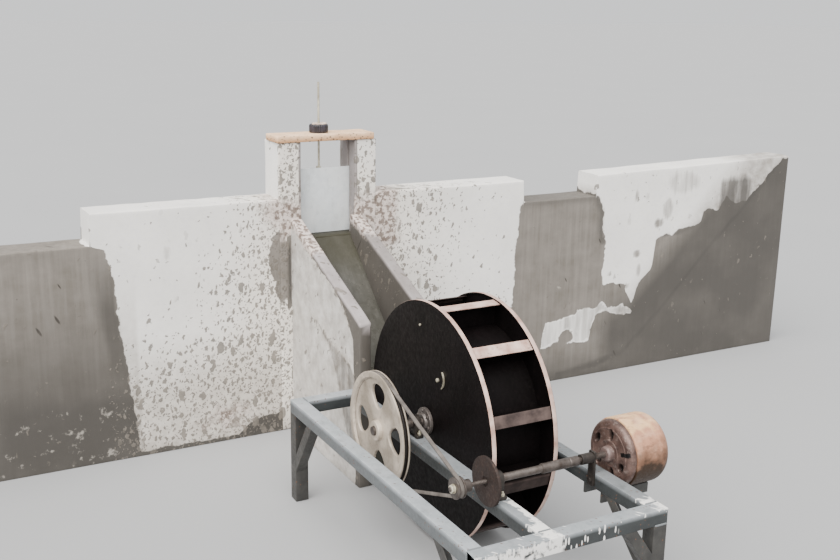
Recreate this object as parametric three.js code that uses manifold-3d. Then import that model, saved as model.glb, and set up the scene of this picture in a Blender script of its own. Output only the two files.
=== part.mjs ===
// Micro hydro plant: a low concrete dam with a sluice and a steep chute that feeds a
// water wheel on a steel angle frame. The wheel drives a small generator by one belt.
// Millimetres, +Z up. X runs along the dam, Y points upstream, the origin is on the
// floor under the middle of the whole plant.
import * as THREE from 'three';
import { mergeVertices } from 'three/addons/utils/BufferGeometryUtils.js';
import Module from 'manifold-3d';

const wasm = await Module();
wasm.setup();

// Small gap between a part and the seat it was cut to, and between a shaft and its bore
const SEAT_GAP = 0.3;
const RUNNING_GAP = 0.05;
// Length by which a bore is drawn past both faces
const PAST = 5;

// Dam
const DAM_FRONT_Y = 724;
const WALL_THICKNESS = 130;
const DAM_BACK_Y = DAM_FRONT_Y + WALL_THICKNESS;
const WALL_TOP = 835;
const LEFT_SPILL_TOP = 733;
const RIGHT_SPILL_TOP = 752;
const WALL_OUTER_X = 813;
const SPILL_OUTER_X = 1157;
const WING_OUTER_X = 2207;
const WING_RISE = 22;

// Sluice
const OPENING_HALF = 101;
const PILLAR_WIDTH = 80;
const PILLAR_OUTER_X = OPENING_HALF + PILLAR_WIDTH;
const PILLAR_TOP = 1023;
const SILL_TOP = 692;
const SLOT_Y = DAM_FRONT_Y + 57;
const SLOT_WIDTH = 14;
const SLOT_DEPTH = 16;
const BOARD_THICKNESS = 22;
const BOARD_LEFT_X = -188;
const BOARD_RIGHT_X = 172;
const BOARD_FRONT_Y = DAM_FRONT_Y - 6;
const BOARD_BACK_Y = DAM_FRONT_Y + 100;
const GATE_BOTTOM = 695;
const GATE_TOP = 923;
const GATE_THICKNESS = 3;
const GATE_SIDE_CLEARANCE = 5;
const ROD_X = -11;
const ROD_RADIUS = 4;
const ROD_TOP = 1217;
const LUG_HALF = 8;
const LUG_T = 5;
const LUG_LENGTH = 30;
const CLAMP_FRONT = 2;
const CLAMP_HEIGHT = 6;
const BOARD_HOLE_RADIUS = 7;
const HAND_NUT_RADIUS = 33;
const HAND_NUT_HEIGHT = 31;

// Chute
const CHUTE_WALL = 40;
const CHUTE_LEFT_INNER_X = -100;
const CHUTE_RIGHT_INNER_X = 84;
const CHUTE_END_Y = 179;
const CHUTE_TOP_AT_DAM = 762;
const CHUTE_TOP_AT_END = 538;
const CHUTE_FLOOR_AT_DAM = 690;
const CHUTE_BEND_Y = 335;
const CHUTE_BEND_FLOOR = 338;
const CHUTE_FLOOR_AT_END = 331;

// Steel frame of equal angle
const ANGLE = 40;
const ANGLE_T = 4;
const RAIL_TOP = 320;
const FRAME_LEFT_X = -353;
const FRAME_RIGHT_X = 189;
const FRAME_NEAR_Y = -DAM_BACK_Y;
const FRAME_FAR_Y = 218;
const INNER_RAIL_X = -165;
const FAR_BEAM_Y = FRAME_FAR_Y - ANGLE;
const BRACE = 30;
const BRACE_T = 3;
const FAR_BRACE = { along: 120, down: 180 };
const NEAR_BRACE = { along: 152, down: 150 };
const BEAM_BRACE = { along: 88, down: 124 };

// Water wheel
const WHEEL_Y = -187;
const WHEEL_Z = RAIL_TOP + 35;
const WHEEL_RADIUS = 340;
const WHEEL_LEFT_X = -107;
const WHEEL_RIGHT_X = 98;
const DISC_T = 4;
const RIM_WIDTH = 10;
const RIM_T = 4;
const DRUM_RADIUS = 262;
const DRUM_T = 4;
const BLADE_COUNT = 11;
const BLADE_T = 3;
const BLADE_LIP = 33;
const BLADE_SLANT = 3;
const FIRST_BLADE_DEG = 86.4;
const HUB_RADIUS = 39;
const HUB_T = 10;
const BOSS_RADIUS = 22;
const BOSS_LENGTH = 8;
const AXLE_RADIUS = 12.5;
const AXLE_LEFT_X = -277;
const AXLE_RIGHT_X = 200;

// Belt drive
const BIG_PULLEY_X = -256;
const PULLEY_WIDTH = 21;
const BIG_PULLEY_RADIUS = 163;
const SMALL_PULLEY_RADIUS = 27;
const SMALL_HUB_RADIUS = 16;
const SMALL_HUB_LENGTH = 22;
const GROOVE_DEPTH = 9;
const GROOVE_TOP = 12;
const GROOVE_BOTTOM = 8;
const BIG_RIM_DEPTH = 20;
const WEB_T = 10;
const WEB_IN_RIM = 2;
const KIDNEY_IN = 60;
const KIDNEY_OUT = 130;
const KIDNEY_TURNS_DEG = [2, 92, 182, 272];
const KIDNEY_HALF_IN_DEG = 18;
const KIDNEY_HALF_OUT_DEG = 23;
const PULLEY_BOSS_RADIUS = 29;
const PULLEY_BOSS_LENGTH = 30;
const BELT_TOP_WIDTH = 10;
const BELT_BOTTOM_WIDTH = 6.5;
const BELT_HEIGHT = 7;
const BELT_BIG_STEPS = 44;
const BELT_SMALL_STEPS = 12;

// Countershaft, flywheel disc and generator
const SHAFT_Y = -609;
const SHAFT_Z = RAIL_TOP + 43;
const THIN_SHAFT_RADIUS = 6;
const SHAFT_END = 12;
const SHAFT_SEAT = 5;
const PIPE_RADIUS = 10;
const SLEEVE_RADIUS = 13;
const SLEEVE_LEFT_X = -13;
const SLEEVE_RIGHT_X = 98;
const GENERATOR_SHAFT_RADIUS = 8;
const FLYWHEEL_RADIUS = 63;
const FLYWHEEL_LEFT_X = -178;
const FLYWHEEL_RIGHT_X = -170.5;
const FLYWHEEL_RECESS_RADIUS = 13;
const FLYWHEEL_RECESS = 3;
const BEARING_LENGTH = 68;
const BEARING_WIDTH = 22;
const BEARING_FOOT = 10;
const HOUSING_WALL = 11;
const HOUSING_CHEEK = 3;
const UPRIGHT_WIDTH = 25;
const UPRIGHT_T = 6;
const UPRIGHT_BELOW = 35;
const UPRIGHT_ABOVE = 60;
const UPRIGHT_BOSS_RADIUS = 14;
const UPRIGHT_BOSS_LENGTH = 36;
const GENERATOR_X = FRAME_RIGHT_X + 11;
const GENERATOR_RADIUS = 92;
const SHIELD_RADIUS = 88;
const SHIELD_LENGTH = 20;
const NOSE_RADIUS = 20;
const SHIELD_EDGE = 14;
const SHIELD_EDGE_DROP = 16;
const NOSE_LENGTH = 16;
const NOSE_EDGE = 4;
const BODY_LENGTH = 84;
const DOME_LENGTH = 34;
const DOME_RADIUS = 52;
const ARM_T = 6;
const ARM_OFFSET = 35;
const ARM_BOTTOM = 248;
const ARM_END_X = GENERATOR_X + 106;
const TIE_START_X = GENERATOR_X + 4;
const CRADLE_START_X = FRAME_RIGHT_X + 4;

const ROUND = 64;
const DISC_ROUND = 48;
const SMALL_ROUND = 36;

// Finishes of the plain solids
const FINISH = {
  limewash: { color: 0xcfcdc8, roughness: 0.95, metalness: 0 },
  mortar: { color: 0x85817a, roughness: 0.9, metalness: 0 },
  wetConcrete: { color: 0x6f6c60, roughness: 0.6, metalness: 0 },
  board: { color: 0xd9bca0, roughness: 0.85, metalness: 0 },
  sheet: { color: 0xc3c9cc, roughness: 0.5, metalness: 0.6 },
  rod: { color: 0xd0cdb8, roughness: 0.5, metalness: 0.5 },
  blackPlastic: { color: 0x26252b, roughness: 0.45, metalness: 0 },
  galvanised: { color: 0xaab0b0, roughness: 0.55, metalness: 0.6 },
  wetBlack: { color: 0x221b1a, roughness: 0.35, metalness: 0.2 },
  castGrey: { color: 0xaaa39a, roughness: 0.5, metalness: 0.5 },
  darkSteel: { color: 0x4a403d, roughness: 0.55, metalness: 0.6 },
  rust: { color: 0x4b3b36, roughness: 0.8, metalness: 0.3 },
  belt: { color: 0x8c8780, roughness: 0.7, metalness: 0 },
  creamPaint: { color: 0xc3a48e, roughness: 0.6, metalness: 0.1 },
};

const plant = new THREE.Group();

// Merge doubles, drop faces without area and turn the shell outside out if needed
function closed(geometry) {
  const bare = geometry.index ? geometry.toNonIndexed() : geometry.clone();
  bare.deleteAttribute('normal');
  bare.deleteAttribute('uv');
  const merged = mergeVertices(bare, 1e-3);
  const p = merged.attributes.position;
  const kept = [];
  let volume = 0;
  const a = new THREE.Vector3();
  const b = new THREE.Vector3();
  const c = new THREE.Vector3();
  for (let i = 0; i < merged.index.count; i += 3) {
    const [i0, i1, i2] = [0, 1, 2].map((k) => merged.index.getX(i + k));
    if (i0 === i1 || i1 === i2 || i2 === i0) continue;
    a.fromBufferAttribute(p, i0);
    b.fromBufferAttribute(p, i1);
    c.fromBufferAttribute(p, i2);
    volume += a.dot(b.clone().cross(c));
    kept.push([i0, i1, i2]);
  }
  const faces = volume < 0 ? kept.map(([i0, i1, i2]) => [i0, i2, i1]) : kept;
  merged.setIndex(faces.flat());
  return merged;
}

// A closed geometry as a solid that can be joined and cut
function solid(geometry) {
  const g = closed(geometry);
  return new wasm.Manifold(new wasm.Mesh({
    numProp: 3,
    vertProperties: new Float32Array(g.attributes.position.array),
    triVerts: new Uint32Array(g.index.array),
  }));
}

// The joined or cut solid back as a geometry
function geometryOf(manifold) {
  const mesh = manifold.getMesh();
  const g = new THREE.BufferGeometry();
  g.setAttribute('position', new THREE.BufferAttribute(new Float32Array(mesh.vertProperties), 3));
  g.setIndex(Array.from(mesh.triVerts));
  return g;
}

function join(...geometries) {
  return geometryOf(geometries.map(solid).reduce((all, one) => all.add(one)));
}

function cut(geometry, ...tools) {
  return geometryOf(tools.reduce((left, tool) => left.subtract(solid(tool)), solid(geometry)));
}

function place(name, geometry, finish) {
  const mesh = new THREE.Mesh(closed(geometry), new THREE.MeshStandardMaterial(finish));
  mesh.name = name;
  plant.add(mesh);
  return mesh;
}

// Box between two corners
function block(x0, x1, y0, y1, z0, z1) {
  const g = new THREE.BoxGeometry(x1 - x0, y1 - y0, z1 - z0);
  return g.translate((x0 + x1) / 2, (y0 + y1) / 2, (z0 + z1) / 2);
}

// Outline in the plane of two axes, carried along the third from one value to another
function prism(points, axis, from, to) {
  const shape = new THREE.Shape(points.map(([u, v]) => new THREE.Vector2(u, v)));
  const g = new THREE.ExtrudeGeometry(shape, { depth: to - from, bevelEnabled: false });
  const turn = new THREE.Matrix4();
  if (axis === 'x') turn.set(0, 0, 1, from, 1, 0, 0, 0, 0, 1, 0, 0, 0, 0, 0, 1);
  if (axis === 'y') turn.set(1, 0, 0, 0, 0, 0, 1, from, 0, 1, 0, 0, 0, 0, 0, 1);
  if (axis === 'z') turn.makeTranslation(0, 0, from);
  return g.applyMatrix4(turn);
}

// Cylinder along X between two x values, about the line through y and z
function rodX(radius, x0, x1, y, z, segments = SMALL_ROUND) {
  const g = new THREE.CylinderGeometry(radius, radius, x1 - x0, segments);
  return g.rotateZ(-Math.PI / 2).translate((x0 + x1) / 2, y, z);
}

// Ring or turned body along X: the profile holds [x, radius] pairs
function turnedX(profile, y, z, segments = ROUND) {
  const points = profile.map(([x, r]) => new THREE.Vector2(r, x));
  return new THREE.LatheGeometry(points, segments).rotateZ(-Math.PI / 2).translate(0, y, z);
}

function rodZ(radius, z0, z1, x, y, segments = SMALL_ROUND) {
  const g = new THREE.CylinderGeometry(radius, radius, z1 - z0, segments);
  return g.rotateX(Math.PI / 2).translate(x, y, (z0 + z1) / 2);
}

const X = new THREE.Vector3(1, 0, 0);
const Y = new THREE.Vector3(0, 1, 0);
const Z = new THREE.Vector3(0, 0, 1);

// Length of angle section: the corner edge starts at a point and runs along a direction,
// one leaf points along leafA and the other along leafB
function angleBar(start, along, length, leafA, leafB, grow = 0) {
  const far = ANGLE + grow;
  const inner = ANGLE_T + grow;
  const outline = [[-grow, -grow], [far, -grow], [far, inner], [inner, inner], [inner, far], [-grow, far]];
  const g = prism(outline, 'z', 0, length);
  const basis = new THREE.Matrix4().makeBasis(leafA, leafB, along).setPosition(...start);
  return g.applyMatrix4(basis);
}

// Dam walls, each from the floor up
function wall(name, x0, x1, top, finish) {
  place(name, block(x0, x1, DAM_FRONT_Y, DAM_BACK_Y, 0, top), finish);
}

wall('left_wall', -WALL_OUTER_X, -PILLAR_OUTER_X, WALL_TOP, FINISH.limewash);
wall('right_wall', PILLAR_OUTER_X, WALL_OUTER_X, WALL_TOP, FINISH.limewash);
wall('left_spillway_wall', -SPILL_OUTER_X, -WALL_OUTER_X, LEFT_SPILL_TOP, FINISH.mortar);
wall('right_spillway_wall', WALL_OUTER_X, SPILL_OUTER_X, RIGHT_SPILL_TOP, FINISH.mortar);
wall('sluice_sill', -OPENING_HALF, OPENING_HALF, SILL_TOP, FINISH.wetConcrete);

// Wing walls, whose tops rise a little towards the banks
for (const [side, name] of [[-1, 'left_wing_wall'], [1, 'right_wing_wall']]) {
  const outline = [
    [side * SPILL_OUTER_X, 0],
    [side * WING_OUTER_X, 0],
    [side * WING_OUTER_X, WALL_TOP + WING_RISE],
    [side * SPILL_OUTER_X, WALL_TOP],
  ];
  place(name, prism(outline, 'y', DAM_FRONT_Y, DAM_BACK_Y), FINISH.limewash);
}

// Sluice pillars, each with an upright slot that guides the gate
for (const [side, name] of [[-1, 'left_pillar'], [1, 'right_pillar']]) {
  const inner = side * OPENING_HALF;
  const outer = side * PILLAR_OUTER_X;
  const deep = side * (OPENING_HALF + SLOT_DEPTH);
  const y0 = SLOT_Y - SLOT_WIDTH / 2;
  const y1 = SLOT_Y + SLOT_WIDTH / 2;
  const outline = [
    [inner, DAM_FRONT_Y], [outer, DAM_FRONT_Y], [outer, DAM_BACK_Y], [inner, DAM_BACK_Y],
    [inner, y1], [deep, y1], [deep, y0], [inner, y0],
  ];
  place(name, prism(outline, 'z', 0, PILLAR_TOP), FINISH.limewash);
}

// Board across the pillars, with a hole for the gate rod
const boardTop = PILLAR_TOP + BOARD_THICKNESS;
const board = block(
  BOARD_LEFT_X, BOARD_RIGHT_X, BOARD_FRONT_Y, BOARD_BACK_Y, PILLAR_TOP, boardTop,
);
const boardHole = rodZ(BOARD_HOLE_RADIUS, PILLAR_TOP - PAST, boardTop + PAST, ROD_X, SLOT_Y);
place('cross_board', cut(board, boardHole), FINISH.board);

// Sheet gate in the slots, its threaded rod and the round nut that carries both
const gateHalf = OPENING_HALF + SLOT_DEPTH - GATE_SIDE_CLEARANCE;
const gateBack = SLOT_Y + GATE_THICKNESS / 2;
place('gate_plate', block(
  -gateHalf, gateHalf, SLOT_Y - GATE_THICKNESS / 2, gateBack, GATE_BOTTOM, GATE_TOP,
), FINISH.sheet);
const lug = block(
  ROD_X - LUG_HALF, ROD_X + LUG_HALF, gateBack, gateBack + LUG_T, GATE_TOP - LUG_LENGTH, GATE_TOP,
);
const clamp = block(
  ROD_X - LUG_HALF, ROD_X + LUG_HALF, SLOT_Y - CLAMP_FRONT, gateBack + LUG_T,
  GATE_TOP, GATE_TOP + CLAMP_HEIGHT,
);
const rod = rodZ(ROD_RADIUS, GATE_TOP + CLAMP_HEIGHT / 2, ROD_TOP, ROD_X, SLOT_Y);
place('gate_rod', join(rod, clamp, lug), FINISH.rod);
const nutRing = turnedX([
  [0, ROD_RADIUS + RUNNING_GAP], [0, HAND_NUT_RADIUS], [HAND_NUT_HEIGHT, HAND_NUT_RADIUS],
  [HAND_NUT_HEIGHT, ROD_RADIUS + RUNNING_GAP], [0, ROD_RADIUS + RUNNING_GAP],
], 0, 0, SMALL_ROUND);
place(
  'hand_nut',
  nutRing.rotateY(-Math.PI / 2).translate(ROD_X, SLOT_Y, boardTop),
  FINISH.blackPlastic,
);

// Frame: three rails between two beams, on four legs
const down = Z.clone().negate();
function rail(name, x, farY) {
  const nearY = FRAME_NEAR_Y + ANGLE;
  place(name, angleBar([x, nearY, RAIL_TOP], Y, farY - nearY, X, down), FINISH.galvanised);
}
rail('outer_rail', FRAME_LEFT_X, FRAME_FAR_Y);
rail('inner_rail', INNER_RAIL_X, FAR_BEAM_Y);
rail('right_rail', FRAME_RIGHT_X - ANGLE, FRAME_FAR_Y);
place('near_beam', angleBar(
  [FRAME_LEFT_X, FRAME_NEAR_Y, RAIL_TOP], X, FRAME_RIGHT_X - FRAME_LEFT_X, Y, down,
), FINISH.galvanised);
function farBeam(grow = 0) {
  const start = [FRAME_LEFT_X + ANGLE, FAR_BEAM_Y, RAIL_TOP];
  return angleBar(start, X, FRAME_RIGHT_X - FRAME_LEFT_X - 2 * ANGLE, Y, down, grow);
}
place('far_beam', farBeam(), FINISH.galvanised);
const legHeight = RAIL_TOP - ANGLE;
for (const [name, x, y] of [
  ['leg_near_left', FRAME_LEFT_X, FRAME_NEAR_Y],
  ['leg_near_right', FRAME_RIGHT_X - ANGLE, FRAME_NEAR_Y],
  ['leg_far_left', FRAME_LEFT_X, FRAME_FAR_Y - ANGLE],
  ['leg_far_right', FRAME_RIGHT_X - ANGLE, FRAME_FAR_Y - ANGLE],
]) {
  place(name, angleBar([x, y, 0], Z, legHeight, X, Y), FINISH.galvanised);
}

// Knee brace of light angle between a leg and the bar above it. It starts at the leg's
// face, at u = corner, and reaches along the bar in the direction of sign.
function braceGeometry(axis, corner, sign, size, faceFrom) {
  const slope = size.down / size.along;
  const strip = (width) => {
    const w = width * Math.hypot(1, 1 / slope);
    return [
      [corner + sign * size.along, legHeight],
      [corner + sign * (size.along - w), legHeight],
      [corner, legHeight - size.down + w * slope],
      [corner, legHeight - size.down],
    ];
  };
  const face = prism(strip(BRACE), axis, faceFrom, faceFrom + BRACE_T);
  const leaf = prism(strip(BRACE_T), axis, faceFrom, faceFrom + BRACE);
  return join(face, leaf);
}
const farLegFace = FRAME_FAR_Y - ANGLE;
const nearLegFace = FRAME_NEAR_Y + ANGLE;
for (const [name, x] of [['left', FRAME_LEFT_X], ['right', FRAME_RIGHT_X - ANGLE]]) {
  place(`${name}_far_brace`, braceGeometry('x', farLegFace, -1, FAR_BRACE, x), FINISH.galvanised);
  place(`${name}_near_brace`, braceGeometry('x', nearLegFace, 1, NEAR_BRACE, x), FINISH.galvanised);
}
place('beam_right_brace', braceGeometry(
  'y', FRAME_RIGHT_X - ANGLE, -1, BEAM_BRACE, FRAME_NEAR_Y,
), FINISH.galvanised);

// Chute: two thin side walls and the ramp between them, cast round the far beam
const beamPassage = farBeam(SEAT_GAP);
function chutePart(name, outline, x0, x1, finish) {
  place(name, cut(prism(outline, 'x', x0, x1), beamPassage), finish);
}
const chuteWallOutline = [
  [DAM_FRONT_Y, 0], [DAM_FRONT_Y, CHUTE_TOP_AT_DAM], [CHUTE_END_Y, CHUTE_TOP_AT_END], [CHUTE_END_Y, 0],
];
const leftX = CHUTE_LEFT_INNER_X;
const rightX = CHUTE_RIGHT_INNER_X;
chutePart('chute_left_wall', chuteWallOutline, leftX - CHUTE_WALL, leftX, FINISH.limewash);
chutePart('chute_right_wall', chuteWallOutline, rightX, rightX + CHUTE_WALL, FINISH.limewash);
chutePart('chute_ramp', [
  [DAM_FRONT_Y, 0], [DAM_FRONT_Y, CHUTE_FLOOR_AT_DAM], [CHUTE_BEND_Y, CHUTE_BEND_FLOOR],
  [CHUTE_END_Y, CHUTE_FLOOR_AT_END], [CHUTE_END_Y, 0],
], leftX, rightX, FINISH.wetConcrete);

// Water wheel discs, each with its outer rim folded inwards and a hole for the axle
const axleHole = AXLE_RADIUS + SEAT_GAP;
function ringX(x0, x1, inner, outer) {
  const profile = [[x0, inner], [x0, outer], [x1, outer], [x1, inner], [x0, inner]];
  return turnedX(profile, WHEEL_Y, WHEEL_Z);
}
for (const [name, face, sign] of [
  ['wheel_left_disc', WHEEL_LEFT_X, 1],
  ['wheel_right_disc', WHEEL_RIGHT_X, -1],
]) {
  const back = face + sign * DISC_T;
  const lip = face + sign * (DISC_T + RIM_WIDTH);
  place(name, turnedX([
    [face, axleHole], [face, WHEEL_RADIUS], [lip, WHEEL_RADIUS], [lip, WHEEL_RADIUS - RIM_T],
    [back, WHEEL_RADIUS - RIM_T], [back, axleHole], [face, axleHole],
  ], WHEEL_Y, WHEEL_Z), FINISH.wetBlack);
}

// Drum between the discs with the blades welded on it. A blade is a radial sheet with
// its outer edge bent back as a lip.
const wheelInner = [WHEEL_LEFT_X + DISC_T + SEAT_GAP, WHEEL_RIGHT_X - DISC_T - SEAT_GAP];
const bladeInner = DRUM_RADIUS - DRUM_T / 2;
const bladeOuter = (WHEEL_RADIUS - RIM_T) * Math.cos(Math.PI / ROUND) - SEAT_GAP;
const bladeOutline = [
  [bladeInner, 0], [bladeOuter, 0], [bladeOuter - BLADE_SLANT, -BLADE_LIP],
  [bladeOuter - BLADE_SLANT - BLADE_T, -BLADE_LIP], [bladeOuter - BLADE_T, -BLADE_T],
  [bladeInner, -BLADE_T],
];
const blades = Array.from({ length: BLADE_COUNT }, (_, i) => {
  const angle = THREE.MathUtils.degToRad(FIRST_BLADE_DEG - i * (360 / BLADE_COUNT));
  // the angle is measured from the downstream side upwards
  const turned = bladeOutline.map(([r, t]) => [
    WHEEL_Y - r * Math.cos(angle) + t * Math.sin(angle),
    WHEEL_Z + r * Math.sin(angle) + t * Math.cos(angle),
  ]);
  return prism(turned, 'x', wheelInner[0], wheelInner[1]);
});
place('bladed_drum', join(
  ringX(wheelInner[0], wheelInner[1], DRUM_RADIUS - DRUM_T, DRUM_RADIUS), ...blades,
), FINISH.wetBlack);

// Axle with a hub flange and boss welded on the outside of each disc
const leftHub = WHEEL_LEFT_X - SEAT_GAP;
const rightHub = WHEEL_RIGHT_X + SEAT_GAP;
place('wheel_axle', turnedX([
  [AXLE_LEFT_X, 0], [AXLE_LEFT_X, AXLE_RADIUS],
  [leftHub - HUB_T - BOSS_LENGTH, AXLE_RADIUS], [leftHub - HUB_T - BOSS_LENGTH, BOSS_RADIUS],
  [leftHub - HUB_T, BOSS_RADIUS], [leftHub - HUB_T, HUB_RADIUS], [leftHub, HUB_RADIUS],
  [leftHub, AXLE_RADIUS], [rightHub, AXLE_RADIUS], [rightHub, HUB_RADIUS],
  [rightHub + HUB_T, HUB_RADIUS], [rightHub + HUB_T, BOSS_RADIUS],
  [rightHub + HUB_T + BOSS_LENGTH, BOSS_RADIUS], [rightHub + HUB_T + BOSS_LENGTH, AXLE_RADIUS],
  [AXLE_RIGHT_X, AXLE_RADIUS], [AXLE_RIGHT_X, 0],
], WHEEL_Y, WHEEL_Z, SMALL_ROUND), FINISH.darkSteel);

// Grooved pulley rim profile, with a bore of the given radius
function pulleyRim(radius, bore) {
  const half = PULLEY_WIDTH / 2;
  return [
    [-half, bore], [-half, radius], [-GROOVE_TOP / 2, radius], [-GROOVE_BOTTOM / 2, radius - GROOVE_DEPTH],
    [GROOVE_BOTTOM / 2, radius - GROOVE_DEPTH], [GROOVE_TOP / 2, radius], [half, radius], [half, bore],
    [-half, bore],
  ];
}
const rimRing = turnedX(pulleyRim(BIG_PULLEY_RADIUS, BIG_PULLEY_RADIUS - BIG_RIM_DEPTH), 0, 0);

// Web disc with four kidney windows, drawn in the plane of Y and Z
const web = new THREE.Shape();
web.absarc(0, 0, BIG_PULLEY_RADIUS - BIG_RIM_DEPTH + WEB_IN_RIM, 0, 2 * Math.PI, false);
for (const middle of KIDNEY_TURNS_DEG) {
  const a = THREE.MathUtils.degToRad(180 - middle);
  const spanOut = THREE.MathUtils.degToRad(KIDNEY_HALF_OUT_DEG);
  const spanIn = THREE.MathUtils.degToRad(KIDNEY_HALF_IN_DEG);
  const hole = new THREE.Path();
  hole.absarc(0, 0, KIDNEY_OUT, a - spanOut, a + spanOut, false);
  hole.absarc(0, 0, KIDNEY_IN, a + spanIn, a - spanIn, true);
  web.holes.push(hole);
}
const webPlate = new THREE.ExtrudeGeometry(web, {
  depth: WEB_T, bevelEnabled: false, curveSegments: DISC_ROUND,
});
webPlate.translate(0, 0, -WEB_T / 2);
webPlate.applyMatrix4(new THREE.Matrix4().set(0, 0, 1, 0, 1, 0, 0, 0, 0, 1, 0, 0, 0, 0, 0, 1));
const pulleyBoss = rodX(PULLEY_BOSS_RADIUS, -PULLEY_BOSS_LENGTH / 2, PULLEY_BOSS_LENGTH / 2, 0, 0);
const bigPulley = cut(
  join(rimRing, webPlate, pulleyBoss),
  rodX(axleHole, -PULLEY_BOSS_LENGTH, PULLEY_BOSS_LENGTH, 0, 0),
);
place('big_pulley', bigPulley.translate(BIG_PULLEY_X, WHEEL_Y, WHEEL_Z), FINISH.castGrey);
const smallBore = THIN_SHAFT_RADIUS + SEAT_GAP;
const smallHubEnd = PULLEY_WIDTH / 2 + SMALL_HUB_LENGTH;
const [smallStart, ...smallRest] = pulleyRim(SMALL_PULLEY_RADIUS, smallBore).slice(0, -2);
const smallPulley = turnedX([
  smallStart, ...smallRest, [PULLEY_WIDTH / 2, SMALL_HUB_RADIUS], [smallHubEnd, SMALL_HUB_RADIUS],
  [smallHubEnd, smallBore], smallStart,
], 0, 0, SMALL_ROUND);
place('small_pulley', smallPulley.translate(BIG_PULLEY_X, SHAFT_Y, SHAFT_Z), FINISH.darkSteel);

// Belt: one loop of V section round both pulleys. The outline is the outer edge of the
// loop for a given height above the groove bottom.
function loopOutline(height) {
  const r1 = BIG_PULLEY_RADIUS - GROOVE_DEPTH + SEAT_GAP + height;
  const r2 = SMALL_PULLEY_RADIUS - GROOVE_DEPTH + SEAT_GAP + height;
  const dy = SHAFT_Y - WHEEL_Y;
  const dz = SHAFT_Z - WHEEL_Z;
  const reach = Math.hypot(dy, dz);
  const line = Math.atan2(dz, dy);
  const lean = Math.acos((r1 - r2) / reach);
  const points = [];
  const arc = (cy, cz, r, from, to, steps) => {
    for (let i = 0; i <= steps; i += 1) {
      const a = from + ((to - from) * i) / steps;
      points.push([cy + r * Math.cos(a), cz + r * Math.sin(a)]);
    }
  };
  arc(WHEEL_Y, WHEEL_Z, r1, line + lean, line + 2 * Math.PI - lean, BELT_BIG_STEPS);
  arc(SHAFT_Y, SHAFT_Z, r2, line - lean, line + lean, BELT_SMALL_STEPS);
  return points;
}
const beltGeometry = new THREE.BufferGeometry();
const beltRings = [
  [0, -BELT_BOTTOM_WIDTH / 2], [0, BELT_BOTTOM_WIDTH / 2],
  [BELT_HEIGHT, BELT_TOP_WIDTH / 2], [BELT_HEIGHT, -BELT_TOP_WIDTH / 2],
].map(([height, x]) => loopOutline(height).map(([y, z]) => [BIG_PULLEY_X + x, y, z]));
const beltCount = beltRings[0].length;
beltGeometry.setAttribute('position', new THREE.Float32BufferAttribute(beltRings.flat(2), 3));
const beltFaces = [];
for (let ring = 0; ring < 4; ring += 1) {
  for (let i = 0; i < beltCount; i += 1) {
    const a = ring * beltCount + i;
    const b = ring * beltCount + ((i + 1) % beltCount);
    const c = ((ring + 1) % 4) * beltCount + ((i + 1) % beltCount);
    const d = ((ring + 1) % 4) * beltCount + i;
    beltFaces.push(a, b, c, a, c, d);
  }
}
beltGeometry.setIndex(beltFaces);
place('belt', beltGeometry, FINISH.belt);

// Countershaft: thin end for the pulley, a pipe with a sleeve, and the generator's shaft
const shaftLeft = BIG_PULLEY_X - PULLEY_WIDTH / 2 - SHAFT_END;
const shaftRight = GENERATOR_X + SHIELD_LENGTH - SHAFT_SEAT;
place('countershaft', turnedX([
  [shaftLeft, 0], [shaftLeft, THIN_SHAFT_RADIUS], [FLYWHEEL_RIGHT_X + SEAT_GAP, THIN_SHAFT_RADIUS],
  [FLYWHEEL_RIGHT_X + SEAT_GAP, PIPE_RADIUS], [SLEEVE_LEFT_X, PIPE_RADIUS],
  [SLEEVE_LEFT_X, SLEEVE_RADIUS], [SLEEVE_RIGHT_X, SLEEVE_RADIUS],
  [SLEEVE_RIGHT_X, GENERATOR_SHAFT_RADIUS], [shaftRight, GENERATOR_SHAFT_RADIUS], [shaftRight, 0],
], SHAFT_Y, SHAFT_Z, SMALL_ROUND), FINISH.darkSteel);
const flywheelBore = THIN_SHAFT_RADIUS + SEAT_GAP;
const recessFloor = FLYWHEEL_LEFT_X + FLYWHEEL_RECESS;
place('flywheel_disc', turnedX([
  [recessFloor, flywheelBore], [recessFloor, FLYWHEEL_RECESS_RADIUS],
  [FLYWHEEL_LEFT_X, FLYWHEEL_RECESS_RADIUS], [FLYWHEEL_LEFT_X, FLYWHEEL_RADIUS],
  [FLYWHEEL_RIGHT_X, FLYWHEEL_RADIUS], [FLYWHEEL_RIGHT_X, flywheelBore], [recessFloor, flywheelBore],
], SHAFT_Y, SHAFT_Z, DISC_ROUND), FINISH.rust);

// Pillow block: a foot on the rail and a round housing about the shaft
function pillowBlock(railX, y, z, shaftRadius) {
  const mid = railX + ANGLE / 2;
  const x0 = mid - BEARING_WIDTH / 2;
  const x1 = mid + BEARING_WIDTH / 2;
  const half = BEARING_LENGTH / 2;
  const foot = block(x0, x1, y - half, y + half, RAIL_TOP, RAIL_TOP + BEARING_FOOT);
  const housingRadius = shaftRadius + HOUSING_WALL;
  const housing = rodX(housingRadius, x0, x1, y, z);
  const cheek = housingRadius - HOUSING_CHEEK;
  const stand = block(x0, x1, y - cheek, y + cheek, RAIL_TOP, z);
  const bore = rodX(shaftRadius + RUNNING_GAP, x0 - PAST, x1 + PAST, y, z);
  return cut(join(foot, stand, housing), bore);
}
for (const [name, railX, y, z, shaftRadius] of [
  ['wheel_left_bearing', INNER_RAIL_X, WHEEL_Y, WHEEL_Z, AXLE_RADIUS],
  ['wheel_right_bearing', FRAME_RIGHT_X - ANGLE, WHEEL_Y, WHEEL_Z, AXLE_RADIUS],
  ['shaft_left_bearing', INNER_RAIL_X, SHAFT_Y, SHAFT_Z, PIPE_RADIUS],
]) {
  place(name, pillowBlock(railX, y, z, shaftRadius), FINISH.castGrey);
}

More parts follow.
